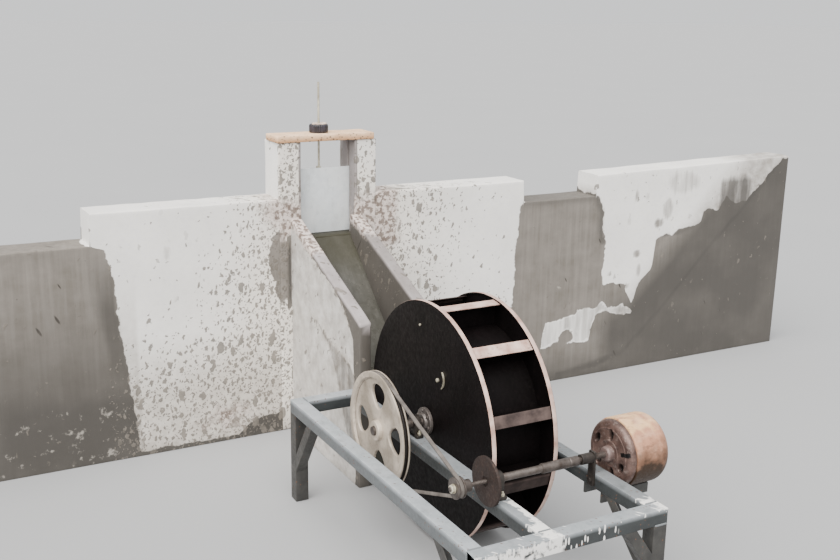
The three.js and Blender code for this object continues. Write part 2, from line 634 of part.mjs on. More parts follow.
// Upright on the right rail that carries the shaft just before the generator
const uprightX = FRAME_RIGHT_X - ANGLE - UPRIGHT_T;
const uprightBar = block(
  uprightX, uprightX + UPRIGHT_T, SHAFT_Y - UPRIGHT_WIDTH / 2, SHAFT_Y + UPRIGHT_WIDTH / 2,
  RAIL_TOP - UPRIGHT_BELOW, RAIL_TOP + UPRIGHT_ABOVE,
);
const uprightBoss = rodX(
  UPRIGHT_BOSS_RADIUS, uprightX - UPRIGHT_BOSS_LENGTH, uprightX + UPRIGHT_T / 2, SHAFT_Y, SHAFT_Z,
);
const uprightBore = rodX(
  GENERATOR_SHAFT_RADIUS + RUNNING_GAP, uprightX - UPRIGHT_BOSS_LENGTH - PAST, uprightX + UPRIGHT_T + PAST,
  SHAFT_Y, SHAFT_Z,
);
place('bearing_upright', cut(join(uprightBar, uprightBoss), uprightBore), FINISH.galvanised);

// Generator: cast shield round the shaft and a drawn steel body behind it
const shieldEnd = GENERATOR_X + SHIELD_LENGTH;
const bodyEnd = shieldEnd + BODY_LENGTH;
const shieldBore = GENERATOR_SHAFT_RADIUS + RUNNING_GAP;
const noseEnd = GENERATOR_X - NOSE_LENGTH;
// Quarter round between a flat end and the cylinder beside it
function rounded(x, radius, dx, dr, steps = 4) {
  return Array.from({ length: steps + 1 }, (_, i) => {
    const a = (i / steps) * (Math.PI / 2);
    return [x + dx * (1 - Math.cos(a)), radius - dr * (1 - Math.sin(a))];
  });
}
place('generator_shield', turnedX([
  [noseEnd, shieldBore], [noseEnd, NOSE_RADIUS - NOSE_EDGE], [noseEnd + NOSE_EDGE, NOSE_RADIUS],
  [GENERATOR_X, NOSE_RADIUS + NOSE_EDGE / 2],
  ...rounded(GENERATOR_X, SHIELD_RADIUS, SHIELD_EDGE, SHIELD_EDGE_DROP),
  [shieldEnd, SHIELD_RADIUS], [shieldEnd, shieldBore], [noseEnd, shieldBore],
], SHAFT_Y, SHAFT_Z, SMALL_ROUND), FINISH.rust);
const domeEnd = bodyEnd + DOME_LENGTH;
const domeDrop = GENERATOR_RADIUS - DOME_RADIUS;
place('generator_body', turnedX([
  [shieldEnd + SEAT_GAP, 0], [shieldEnd + SEAT_GAP, GENERATOR_RADIUS],
  ...rounded(domeEnd, GENERATOR_RADIUS, -DOME_LENGTH, domeDrop).reverse(),
  [domeEnd, 0],
], SHAFT_Y, SHAFT_Z, SMALL_ROUND), FINISH.creamPaint);

// Two arms under the right rail's leaf carry the generator, tied by a strip below it
const armInnerX = FRAME_RIGHT_X - ANGLE + ANGLE_T + SEAT_GAP;
const armTop = RAIL_TOP - ANGLE_T - SEAT_GAP;
const arms = [-1, 1].map((side) => prism([
  [armInnerX, ARM_BOTTOM], [ARM_END_X, ARM_BOTTOM], [ARM_END_X, armTop], [armInnerX, armTop],
], 'y', SHAFT_Y + side * ARM_OFFSET - ARM_T / 2, SHAFT_Y + side * ARM_OFFSET + ARM_T / 2));
const armTie = block(
  TIE_START_X, ARM_END_X, SHAFT_Y - ARM_OFFSET, SHAFT_Y + ARM_OFFSET, ARM_BOTTOM, ARM_BOTTOM + ARM_T,
);
const cradle = rodX(GENERATOR_RADIUS + SEAT_GAP, CRADLE_START_X, ARM_END_X + PAST, SHAFT_Y, SHAFT_Z);
place('generator_bracket', cut(join(...arms, armTie), cradle), FINISH.galvanised);

export default plant;
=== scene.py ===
"""A micro hydro plant: a lime-washed dam with a sluice and chute, and below it a water
wheel on a frame of steel angle that drives a small generator by one belt.

Metres, +Z up. X runs along the dam, +Y points upstream, the floor is at z = 0.
"""
import math

import bmesh
import bpy
import numpy as np
from mathutils import Matrix, Vector


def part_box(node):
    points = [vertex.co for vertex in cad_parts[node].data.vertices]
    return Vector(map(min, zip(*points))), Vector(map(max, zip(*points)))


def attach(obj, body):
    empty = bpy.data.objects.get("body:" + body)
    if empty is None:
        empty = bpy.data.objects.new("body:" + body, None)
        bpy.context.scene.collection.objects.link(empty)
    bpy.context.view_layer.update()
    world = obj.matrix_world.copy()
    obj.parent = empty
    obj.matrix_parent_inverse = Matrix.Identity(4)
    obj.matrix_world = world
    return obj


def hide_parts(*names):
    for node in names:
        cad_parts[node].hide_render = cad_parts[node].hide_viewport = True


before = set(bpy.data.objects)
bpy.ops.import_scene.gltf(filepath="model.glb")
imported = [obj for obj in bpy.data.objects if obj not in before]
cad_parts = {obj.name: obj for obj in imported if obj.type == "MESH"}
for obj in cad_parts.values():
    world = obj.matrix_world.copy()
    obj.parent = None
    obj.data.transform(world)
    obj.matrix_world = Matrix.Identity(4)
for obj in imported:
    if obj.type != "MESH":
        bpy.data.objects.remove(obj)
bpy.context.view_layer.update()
MM = 0.001

# Camera: a 46 mm lens held at standing height, left of the wheel, looking down the frame
LENS = 46.09
SENSOR_WIDTH = 36
CAMERA_PLACE = Vector((-1.4845, -2.6349, 1.4941))
LOOK_TURN = math.radians(28.844)
LOOK_DOWN = math.radians(14.635)
LOOK_ROLL = math.radians(0.995)

camera_data = bpy.data.cameras.new("camera")
camera_data.lens = LENS
camera_data.sensor_width = SENSOR_WIDTH
camera = bpy.data.objects.new("camera", camera_data)
look = Vector((
    math.sin(LOOK_TURN) * math.cos(LOOK_DOWN),
    math.cos(LOOK_TURN) * math.cos(LOOK_DOWN),
    -math.sin(LOOK_DOWN),
))
level = Vector((math.cos(LOOK_TURN), -math.sin(LOOK_TURN), 0))
raised = level.cross(look)
right = math.cos(LOOK_ROLL) * level + math.sin(LOOK_ROLL) * raised
upward = math.cos(LOOK_ROLL) * raised - math.sin(LOOK_ROLL) * level
turn = Matrix((right, upward, -look)).transposed()
camera.matrix_world = Matrix.Translation(CAMERA_PLACE) @ turn.to_4x4()
bpy.context.scene.collection.objects.link(camera)
bpy.context.scene.camera = camera


# Floor and light: a wide pale floor under an even, soft sky, with one very large, soft key
def linear(hex_colour):
    """sRGB hex to linear: each channel c is c/12.92 below 0.04045, else ((c+0.055)/1.055)^2.4."""
    channels = [int(hex_colour[i:i + 2], 16) / 255 for i in (1, 3, 5)]
    return [c / 12.92 if c <= 0.04045 else ((c + 0.055) / 1.055) ** 2.4 for c in channels] + [1]


def add(tree, kind, inputs=(), output=0, **settings):
    """Adds one shader node with its settings and links, and returns the asked output. Inputs
    come in order or by name: a number, a colour in hex or another node's output."""
    node = tree.nodes.new("ShaderNode" + kind)
    for name, value in settings.items():
        setattr(node, name, value)
    for name, value in inputs.items() if isinstance(inputs, dict) else enumerate(inputs):
        if isinstance(value, bpy.types.NodeSocket):
            tree.links.new(value, node.inputs[name])
        else:
            node.inputs[name].default_value = linear(value) if isinstance(value, str) else value
    return node.outputs[output] if node.outputs else node


def begin(name):
    """A new material, its empty node tree and the object coordinates in metres."""
    material = bpy.data.materials.new(name)
    material.use_nodes = True
    material.node_tree.nodes.clear()
    return material, material.node_tree, add(material.node_tree, "TexCoord", output="Object")


def mottled(tree, place, base, tone, size, low=0.35, high=0.65, most=1.0, detail=5, stretch=(1, 1, 1)):
    """Clouds of a tone over a base colour. The clouds are about size metres across, begin
    where the noise passes low and reach the share most where it passes high."""
    at = add(tree, "Mapping", {"Vector": place, "Scale": stretch})
    noise = add(tree, "TexNoise", {"Vector": at, "Scale": 0.5 / size, "Detail": detail, "Roughness": 0.6})
    share = add(tree, "MapRange", [noise, low, high, 0, most])
    return add(tree, "MixRGB", [share, base, tone])


def relief(tree, *parts):
    """Height as a sum of parts, each an output times its weight."""
    total = 0.0
    for part, weight in parts:
        total = add(tree, "Math", [part, weight, total], operation="MULTIPLY_ADD")
    return total


def finish_with(material, tree, height, depth, shader):
    """Joins a bump of a real depth in metres and the shader's inputs to the output."""
    bump = add(tree, "Bump", {"Height": height, "Distance": depth})
    surface = add(tree, "BsdfPrincipled", {**shader, "Normal": bump})
    add(tree, "OutputMaterial", [surface])
    return material


FLOOR_HALF = 60
FLOOR_Z = -1 * MM
floor_material, tree, place = begin("studio_floor")
grain = add(tree, "TexNoise", {"Vector": place, "Scale": 1})
finish_with(floor_material, tree, grain, 0.001, {
    "Base Color": add(tree, "MixRGB", [grain, "#9B9DA0", "#9FA1A3"]), "Roughness": 0.9,
})
floor_mesh = bpy.data.meshes.new("floor")
floor_mesh.from_pydata([
    (x * FLOOR_HALF, y * FLOOR_HALF, FLOOR_Z) for x, y in ((-1, -1), (1, -1), (1, 1), (-1, 1))
], [], [(0, 1, 2, 3)])
floor_mesh.materials.append(floor_material)
floor = bpy.data.objects.new("floor", floor_mesh)
bpy.context.scene.collection.objects.link(floor)

SKY_STRENGTH = 1.3
KEY_STRENGTH = 7.5
KEY_SPREAD = math.radians(75)
KEY_FROM = Vector((-2.6, -2.4, 4.4))
world = bpy.data.worlds.new("sky")
world.use_nodes = True
world.node_tree.nodes["Background"].inputs["Color"].default_value = linear("#E4E5E6")
world.node_tree.nodes["Background"].inputs["Strength"].default_value = SKY_STRENGTH
bpy.context.scene.world = world
light_data = bpy.data.lights.new("soft_key", "SUN")
light_data.energy = KEY_STRENGTH
light_data.angle = KEY_SPREAD
light_data.color = linear("#FFFAF4")[:3]
light = bpy.data.objects.new("soft_key", light_data)
light.matrix_world = KEY_FROM.to_track_quat("Z", "Y").to_matrix().to_4x4()
bpy.context.scene.collection.objects.link(light)


# Dam: two poured concrete walls, one on each side of the sluice, rendered with mortar and
# partly lime-washed. Each runs from a pillar over a low spillway to a wing at its end.
def spots(tree, place, presence, cell, stretch, radius, softness):
    """Round spots scattered one to a cell of the given size in metres on the plane of
    (x + 0.7 y, z + 0.7 y), drawn out along z by the stretch. The output presence is the share
    of cells that have one; the radius, as a share of the cell, is 0.5 to 1 times its largest."""
    axes = add(tree, "SeparateXYZ", [place]).node.outputs
    u = add(tree, "Math", [axes["Y"], 0.7, axes["X"]], operation="MULTIPLY_ADD")
    v = add(tree, "Math", [axes["Y"], 0.7, axes["Z"]], operation="MULTIPLY_ADD")
    v = add(tree, "Math", [v, stretch], operation="MULTIPLY")
    at = add(tree, "CombineXYZ", [u, v])
    distance = add(tree, "TexVoronoi", {"Vector": at, "Scale": 1 / cell}, voronoi_dimensions="2D")
    chance = add(tree, "SeparateColor", [distance.node.outputs["Color"]])
    gap = add(tree, "Math", [presence, chance], operation="SUBTRACT")
    present = add(tree, "MapRange", [gap, 0, 0.02])
    reach = add(tree, "MapRange", [chance.node.outputs["Green"], 0, 1, radius * 0.5, radius])
    depth = add(tree, "Math", [reach, distance], operation="SUBTRACT")
    inside = add(tree, "MapRange", [depth, 0, softness])
    return add(tree, "Math", [present, inside], operation="MULTIPLY")


def limewashed_mortar():
    """Trowelled cement mortar under a coat of lime wash, with splashed mud on both.

    The attribute paint is the distance in metres inside the edge of the wash, thin the share
    of it that is brushed thin, neat the share of mortar that has a smooth coat of neat
    cement, mud the density of the splashes, cake the share of brown crust, damp the share of
    moisture in the wall and bloom how much lime salt shows. The darkening by damp is also
    used as painted shade, on the left pillar's open joint and on the chute's sides.
    """
    material, tree, place = begin("limewashed_mortar")
    paint, thin, neat, mud, cake, damp_and_shade, bloom = (
        add(tree, "Attribute", output="Fac", attribute_name=name)
        for name in ("paint", "thin", "neat", "mud", "cake", "damp_and_shade", "bloom"))

    # the wash ends in a ragged brushed edge, about 8 mm out of true
    ragged = add(tree, "TexNoise", {"Vector": place, "Scale": 30, "Detail": 6})
    edge = add(tree, "MapRange", [ragged, 0.25, 0.75, -0.008, 0.008])
    edge = add(tree, "Math", [paint, edge], operation="ADD")
    washed = add(tree, "MapRange", [edge, 0, 0.003])
    cloudy = add(tree, "TexNoise", {"Vector": place, "Scale": 22, "Detail": 8, "Roughness": 0.65})
    drawn = add(tree, "Mapping", {"Vector": place, "Scale": (1, 1, 0.12)})
    brushed = add(tree, "TexNoise", {"Vector": drawn, "Scale": 45, "Detail": 6})
    rubbed = add(tree, "Math", [brushed, thin], operation="ADD")
    rubbed = add(tree, "MapRange", [rubbed, 0.75, 1.3, 0, 0.9])
    left_on = add(tree, "Math", [1, rubbed], operation="SUBTRACT")
    washed = add(tree, "Math", [washed, left_on], operation="MULTIPLY")

    # mortar: float marks 60 mm wide, rain streaks, dark scratches 20 mm long, damp and salt;
    # the damp darkening also paints shade in the pillar's joint and on the chute
    mortar = mottled(tree, place, "#7C7771", "#67625B", 0.06, 0.3, 0.7, detail=8, stretch=(1, 1, 1.4))
    mortar = mottled(tree, place, mortar, "#8C8781", 0.008, 0.42, 0.72, 0.45, stretch=(1, 1, 0.05))
    patchy = add(tree, "TexNoise", {"Vector": place, "Scale": 5, "Detail": 4})
    wet_and_shade = add(tree, "MapRange", [patchy, 0.2, 0.6, 0.75, 1])
    wet_and_shade = add(tree, "Math", [damp_and_shade, wet_and_shade], operation="MULTIPLY")
    mortar = add(tree, "MixRGB", [wet_and_shade, mortar, "#403D39"])
    crust = add(tree, "Math", [cloudy, bloom], operation="ADD")
    crust = add(tree, "MapRange", [crust, 0.98, 1.06, 0, 0.75])
    mortar = add(tree, "MixRGB", [crust, mortar, "#A6A198"])
    slanted = add(tree, "Mapping", {"Vector": place, "Rotation": (0, 0.5, 0)})
    scratch = spots(tree, slanted, 0.3, 0.07, 0.25, 0.07, 0.03)
    mortar = add(tree, "MixRGB", [scratch, mortar, "#3E3A35"])
    mortar = add(tree, "MixRGB", [neat, mortar, mottled(tree, place, "#A7A1A2", "#8E8786", 0.04)])

    # lime wash: near white, with a tan film where mud hit it and grey stains where it is damp;
    # the same grey is painted shade on the chute's outer face
    wash = mottled(tree, place, "#EFEEEB", "#E2E1DE", 0.12, 0.35, 0.7)
    wash = mottled(tree, place, wash, "#C2BEB9", 0.008, 0.5, 0.8, 0.22)
    film = add(tree, "Math", [mud, 0.4], operation="MULTIPLY")
    wash = add(tree, "MixRGB", [film, wash, "#D6C8B2"])
    stain_and_shade = add(tree, "MapRange", [cloudy, 0.35, 0.65, 0.45, 0.9])
    stain_and_shade = add(tree, "Math", [damp_and_shade, stain_and_shade], operation="MULTIPLY")
    wash = add(tree, "MixRGB", [stain_and_shade, wash, "#7F776E"])
    surface = add(tree, "MixRGB", [washed, mortar, wash])

    # mud: specks of 5 mm, dots of 10 mm, drops of 25 mm that ran down, and a crust of brown
    # blots on pink where it lies thick
    bend = add(tree, "TexNoise", {"Vector": place, "Scale": 60, "Detail": 3}, "Color")
    bent = add(tree, "MixRGB", [0.012, place, bend], blend_type="LINEAR_LIGHT")
    specks = spots(tree, bent, mud, 0.011, 0.85, 0.34, 0.1)
    dots = spots(tree, bent, mud, 0.019, 0.6, 0.36, 0.08)
    fewer = add(tree, "Math", [mud, 0.36], operation="MULTIPLY")
    drops = spots(tree, bent, fewer, 0.036, 0.5, 0.36, 0.05)
    splashed = add(tree, "Math", [specks, dots], operation="MAXIMUM")
    splashed = add(tree, "Math", [splashed, drops], operation="MAXIMUM")
    share = add(tree, "Math", [splashed, 0.85], operation="MULTIPLY")
    surface = add(tree, "MixRGB", [share, surface, mottled(tree, place, "#5F5A53", "#7B746B", 0.012)])
    blotted = add(tree, "TexNoise", {"Vector": place, "Scale": 75, "Detail": 4})
    crusted = add(tree, "MixRGB", [add(tree, "MapRange", [blotted, 0.46, 0.56]), "#CFC3BC", "#74665D"])
    caked = add(tree, "Math", [cloudy, cake], operation="ADD")
    caked = add(tree, "MapRange", [caked, 0.8, 1.15, 0, 0.92])
    surface = add(tree, "MixRGB", [caked, surface, crusted])

    grit = add(tree, "TexNoise", {"Vector": place, "Scale": 420, "Detail": 3})
    height = relief(
        tree, (patchy, 0.3), (ragged, 0.25), (grit, 0.12), (washed, 0.25), (splashed, 0.4), (scratch, -0.4))
    return finish_with(material, tree, height, 0.0025, {
        "Base Color": surface, "Roughness": add(tree, "MapRange", [damp_and_shade, 0, 1, 0.92, 0.5]),
    })


def wobble(first, second, size, seed):
    """Soft random relief from -1 to 1: the mean of eight sines of (u, v) with random turns
    and phases, and wavelengths from 0.5 to 2 times the size."""
    draw = np.random.default_rng(seed)
    total = np.zeros(np.broadcast(first, second).shape)
    angles, phases, stretches = draw.uniform(0, np.pi, 8), draw.uniform(0, 6.28, 8), draw.uniform(0.5, 2, 8)
    for angle, phase, stretch in zip(angles, phases, stretches):
        along = first * np.cos(angle) + second * np.sin(angle)
        total += np.sin(2 * np.pi * along / (size * stretch) + phase)
    return total / 8


def loft(rings, loop=False):
    """Skin over a row of rings: point j of ring i joins its neighbours j+1 and i+1. The two
    end rings are closed by flat faces, unless the row closes on itself."""
    count, around = rings.shape[:2]
    i, j = np.meshgrid(np.arange(count if loop else count - 1), np.arange(around), indexing="ij")
    after, beside = (i + 1) % count, (j + 1) % around
    quads = np.stack([i * around + j, i * around + beside, after * around + beside, after * around + j], -1)
    faces = quads.reshape(-1, 4).tolist()
    if not loop:
        faces += [list(range(around)), list(range((count - 1) * around, count * around))]
    return rings.reshape(-1, 3), faces


def piece(name, shapes, material, body, replaces=(), attributes=None, crease=35):
    """One finished object from a list of (points, faces) solids. Its doubles are merged and
    its normals point outwards; edges sharper than crease degrees stay sharp."""
    starts = np.cumsum([0] + [len(points) for points, _ in shapes])
    points = np.concatenate([points for points, _ in shapes])
    faces = [[v + start for v in face] for start, (_, group) in zip(starts, shapes) for face in group]
    mesh = bpy.data.meshes.new(name)
    mesh.from_pydata(points.tolist(), [], faces)
    for key, values in (attributes or {}).items():
        layer = mesh.attributes.new(key, "FLOAT", "POINT")
        spread = np.broadcast_to(values, len(points))
        layer.data.foreach_set("value", np.ascontiguousarray(spread, np.float32))
    work = bmesh.new()
    work.from_mesh(mesh)
    bmesh.ops.remove_doubles(work, verts=work.verts, dist=1e-6)
    bmesh.ops.recalc_face_normals(work, faces=work.faces)
    work.to_mesh(mesh)
    work.free()
    mesh.shade_smooth()
    mesh.set_sharp_from_angle(angle=math.radians(crease))
    mesh.materials.append(material)
    made = bpy.data.objects.new(name, mesh)
    bpy.context.scene.collection.objects.link(made)
    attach(made, body)
    if replaces:
        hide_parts(*replaces)
    return made


def steps(start, end, size):
    """Evenly spaced values from start to end, about one size apart."""
    return np.linspace(start, end, max(2, int(round(abs(end - start) / size)) + 1))


DAM_CELL = 0.011
EDGE_ROUND = 0.005
STEP_RUN = 0.008
DAM_HOLLOW = 0.0025
DAM_TOP_SAG = 0.004
DAMP_LINE = 0.70
mortar_wash = limewashed_mortar()
front_y, back_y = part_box("left_wall")[0].y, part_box("left_wall")[1].y
wall_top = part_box("left_wall")[1].z
back_wash_end = wall_top - 0.07
wall_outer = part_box("right_wall")[1].x
pillar_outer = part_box("right_wall")[0].x
spill_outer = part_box("right_spillway_wall")[1].x
wing_outer, wing_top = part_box("right_wing_wall")[1].x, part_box("right_wing_wall")[1].z
spill_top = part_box("right_spillway_wall")[1].z


def wall_rings(run, top, low, high, inset=0.0):
    """Cross sections of an upright wall along its run. Each goes up the low side, over the
    top with rounded edges and down the high side. The inset draws a section in at its ends.
    Gives the run, the place across and the height of each point, and its share of the top."""
    rise = steps(0, 1, DAM_CELL / np.max(top))
    arc = np.linspace(0, np.pi / 2, 5)[1:]
    across = steps(0, 1, 0.08)[1:-1]
    depth = high - low
    start = np.concatenate([
        np.zeros(len(rise)), EDGE_ROUND * (1 - np.cos(arc)), EDGE_ROUND + across * (depth - 2 * EDGE_ROUND),
        depth - EDGE_ROUND * (1 - np.cos(arc[::-1])), np.full(len(rise), depth),
    ])
    share = np.concatenate([rise, np.ones(len(start) - 2 * len(rise)), rise[::-1]])
    lift = np.concatenate([
        np.zeros(len(rise)), EDGE_ROUND * np.sin(arc), np.full(len(across), EDGE_ROUND),
        EDGE_ROUND * np.sin(arc[::-1]), np.zeros(len(rise)),
    ])
    inset = np.broadcast_to(inset, len(run))[:, None]
    run_grid, start_grid = np.meshgrid(run, start, indexing="ij")
    across_grid = low + start_grid + inset * (1 - 2 * start_grid / depth)
    height = share * (np.broadcast_to(top, len(run))[:, None] - EDGE_ROUND) + lift - inset * (share >= 1)
    return run_grid, across_grid, height, share >= 1


def dam_rings(side, spill_top):
    """One half of the dam along x. Its top line is wall, spillway, then a wing that rises to
    its end. Both sides are up to 2.5 mm hollow and the top is up to 4 mm uneven."""
    along = np.concatenate([
        steps(pillar_outer, wall_outer - STEP_RUN, DAM_CELL),
        wall_outer + np.array([-0.75, -0.5, -0.25, 0, 0.3]) * STEP_RUN,
        steps(wall_outer + STEP_RUN, spill_outer - STEP_RUN, DAM_CELL),
        spill_outer + np.array([-0.3, 0, 0.25, 0.5, 0.75]) * STEP_RUN,
        steps(spill_outer + STEP_RUN, wing_outer, DAM_CELL),
    ])
    top = np.interp(along, [
        pillar_outer, wall_outer - 0.5 * STEP_RUN, wall_outer, spill_outer, spill_outer + 0.5 * STEP_RUN, wing_outer,
    ], [wall_top, wall_top, spill_top, spill_top, wall_top, wing_top])
    x, y, z, on_top = wall_rings(along, top, front_y, back_y)
    x = side * x
    inward = np.where(y < (front_y + back_y) / 2, 1, -1)
    y = y + inward * (0.5 + 0.5 * wobble(x, z, 0.35, 3 + side)) * DAM_HOLLOW
    z = z - on_top * (0.5 + 0.5 * wobble(x, y, 0.12, 5 + side)) * DAM_TOP_SAG
    return np.stack([x, y, z], -1)


def bell(value, centre, width):
    """Bell curve exp(-((v - centre) / width)^2)."""
    return np.exp(-(((value - centre) / width) ** 2))


def patch(x, z, x0, z0, half_x, half_z):
    """Distance in metres inside an ellipse, about its smaller half width."""
    return (1 - np.hypot((x - x0) / half_x, (z - z0) / half_z)) * min(half_x, half_z)


def ramp(value, start, end):
    """Share that rises from 0 at the start to 1 at the end. The end may lie below the start."""
    return np.clip((value - start) / (end - start), 0, 1)


# two places beside the chute where the wash came off: x, z and the half sizes of an ellipse
BARE_PATCHES = ((0.183, 0.625, 0.036, 0.085), (0.172, 0.525, 0.022, 0.055))
# marks where the wash is brushed thin: the same, then the share of it that is missing
LEFT_MARKS = ((0.57, 0.685, 0.022, 0.04, 0.42), (0.68, 0.72, 0.015, 0.02, 0.3))
RIGHT_MARKS = (
    (1.385, 0.492, 0.026, 0.024, 0.8), (1.539, 0.67, 0.03, 0.06, 0.62), (1.491, 0.612, 0.03, 0.026, 0.68),
    (1.338, 0.633, 0.018, 0.034, 0.5), (1.401, 0.42, 0.02, 0.04, 0.6), (1.369, 0.735, 0.018, 0.035, 0.5),
    (1.424, 0.73, 0.016, 0.033, 0.52), (1.25, 0.42, 0.016, 0.016, 0.8), (1.34, 0.36, 0.02, 0.02, 0.7),
)


def bare_patches(x, z):
    """Distance in metres inside the nearer of the bare patches."""
    return np.maximum(*(patch(x, z, *place) for place in BARE_PATCHES))


def back_damp(z):
    """Damp on the dam's back: it fades out from 40 mm below the damp line to 20 mm above it."""
    return 0.8 * ramp(z, DAMP_LINE + 0.02, DAMP_LINE - 0.04)


def left_wash(x, z):
    """Left wall: the wash ends at a slant over the spillway wall and just above the floor, and
    mud is caked beside the sluice and at the foot. Gives paint, thin, cake and wash's end."""
    wash_end = np.interp(
        z, [0.0, 0.22, 0.34, 0.48, 0.63, 0.716, 0.732], [0.687, 0.707, 0.72, 0.738, 0.749, 0.772, 0.83])
    wash_foot = np.interp(x, [0.14, 0.21, 0.26, 0.29, 0.345, 0.69], [0.072, 0.068, 0.06, 0.05, 0.012, 0.014])
    paint = np.minimum.reduce([wash_end - x, z - wash_foot, -bare_patches(x, z)])
    thin = np.zeros(len(x))
    for *place, share in LEFT_MARKS:
        thin = np.maximum(thin, share * ramp(patch(x, z, *place), 0, 0.012))
    by_sluice = 0.75 * bell(x, pillar_outer, 0.09) * bell(z, 0.79, 0.07)
    at_foot = 0.52 * bell(x, 0.38, 0.14) * bell(z, 0.09, 0.08)
    return paint, thin, np.maximum(by_sluice, at_foot), wash_end


def right_wash(x, z):
    """Right wall: the wash stops at the spillway wall and comes back on the wing, where it
    ends in a torn line that climbs outwards. A torn remnant lies low between them. Gives the
    same four values as left_wash."""
    wash_end = np.interp(z, [0.0, 0.3, 0.526, 0.74, 0.753], [0.77, 0.775, 0.787, 0.80, 0.83])
    wing_start = np.interp(
        z, [0.37, 0.43, 0.55, 0.61, 0.68, 0.745, 0.76], [1.221, 1.207, 1.221, 1.199, 1.204, 1.174, 1.13])
    wing_foot = np.interp(x, [
        1.2, 1.33, 1.338, 1.378, 1.40, 1.449, 1.478, 1.482, 1.537, 1.569, 1.598, 1.671, 1.73, 1.732, 1.76,
        1.818, 1.86, 1.91, 1.978, 2.005, 2.062, 2.09, 2.174,
    ], [
        0.38, 0.372, 0.33, 0.28, 0.36, 0.40, 0.437, 0.54, 0.563, 0.552, 0.574, 0.585, 0.60, 0.638, 0.652,
        0.64, 0.70, 0.66, 0.67, 0.70, 0.735, 0.779, 0.842,
    ])
    remnant_foot = np.interp(
        x, [0.925, 0.949, 1.014, 1.081, 1.159, 1.173, 1.20, 1.248, 1.29, 1.382],
        [0.15, 0.148, 0.159, 0.145, 0.147, 0.219, 0.262, 0.255, 0.243, 0.233])
    remnant_head = np.interp(
        x, [0.925, 0.933, 1.045, 1.12, 1.17, 1.226, 1.248, 1.327, 1.375, 1.39],
        [0.14, 0.251, 0.262, 0.293, 0.288, 0.306, 0.272, 0.285, 0.255, 0.22])
    remnant = np.minimum(remnant_head - z, z - remnant_foot) + 0.012 * wobble(x, z, 0.045, 77)
    remnant = np.minimum(remnant, -patch(x, z, 1.046, 0.178, 0.032, 0.03))
    on_wing = np.minimum(x - wing_start, z - wing_foot)
    paint = np.maximum.reduce([wash_end - x, on_wing, remnant])
    thin = np.zeros(len(x))
    for *place, share in RIGHT_MARKS:
        thin = np.maximum(thin, share * ramp(patch(x, z, *place), 0, 0.011))
    streaks = 0.8 * ramp(z, 0.80, 0.76) * ramp(x, 1.815, 1.825) * ramp(x, 2.04, 1.96)
    smear = 0.48 * ramp(patch(x, z, 1.61, 0.775, 0.13, 0.075), 0, 0.04)
    thin = np.maximum.reduce([thin, 0.45 * ramp(remnant, 0, 0.005), streaks, smear])
    cake = 0.8 * ramp(x, 0.31, 0.24) * ramp(z, 0.56, 0.66)
    return paint, thin, cake, wash_end


def dam_weather(points, side):
    """Attributes of limewashed_mortar for one half of the dam, from each point's place."""
    x, y, z = points[:, 0] * side, points[:, 1], points[:, 2]
    is_left = side < 0
    back = y > back_y - 0.01
    paint, thin, cake, wash_end = left_wash(x, z) if is_left else right_wash(x, z)
    paint = np.where(back, np.minimum(paint, z - back_wash_end), paint)

    # mud flew from the chute and up from the foot, and hit neither the spillway wall nor the back
    spread = 0.13 + 0.10 * ramp(z, 0.78, 0.48) if is_left else 0.25
    low = ramp(z, 0.42, 0.18) * ramp(x, wall_outer + 0.05, wall_outer - 0.15)
    mud = np.clip(0.03 + 0.82 * bell(x, pillar_outer, spread) + 0.7 * low, 0, 0.92)
    mud = np.where(back, 0.05, np.where(x > wall_outer - 0.04, 0.02, mud))

    # damp rises from the foot and along the right wing, and lies at the torn edges of the wash
    damp_and_shade = [ramp(z, 0.13, 0), 0.6 * ramp(z, 0.2, 0.05) * bell(x, 0.38, 0.2), back * back_damp(z)]
    damp_and_shade.append(ramp(z, 0.10, 0.06) * (x < 0.36) * (paint < 0.01))
    if is_left:
        damp_and_shade.append(0.95 * ramp(z, 0.62, 0.20) * (x > 0.68))
        damp_and_shade.append(0.8 * ramp(x - wash_end, 0.09, 0.04) * (x > wash_end) * ramp(z, 0.72, 0.52))
        damp_and_shade.append(0.6 * low)
        bloom = 0.40 * ramp(z, 0.25, 0.20) * (x > 0.72)
    else:
        damp_foot = np.interp(
            x, [1.04, 1.2, 1.348, 1.555, 1.815, 1.963, 2.19], [0.0, 0.02, 0.058, 0.238, 0.493, 0.622, 0.84])
        damp_and_shade.append(0.93 * ramp(z - damp_foot, 0.32, 0.17) * ramp(x, 1.16, 1.28))
        damp_and_shade.append(ramp(np.abs(z - damp_foot - 0.02), 0.04, 0.01) * (x > 1.0) * ~back)
        damp_and_shade.append(0.55 * ramp(z, spill_top - 0.03, spill_top - 0.01) * (paint < 0))
        damp_and_shade.append(0.7 * ramp(paint, -0.035, -0.015) * (paint < 0) * (z > 0.55) * (x > 1))
        bloom = 0.42 * bell(z, 0.37, 0.10) * bell(x, 1.04, 0.16)
    return {"paint": paint, "thin": thin, "mud": mud, "cake": np.where(back, 0, cake),
            "damp_and_shade": np.maximum.reduce(damp_and_shade), "bloom": bloom}


for side, word in ((-1, "left"), (1, "right")):
    shape = loft(dam_rings(side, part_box(f"{word}_spillway_wall")[1].z))
    piece(
        f"{word}_dam", [shape], mortar_wash, "root",
        [f"{word}_wall", f"{word}_spillway_wall", f"{word}_wing_wall"],
        dam_weather(shape[0], side),
    )


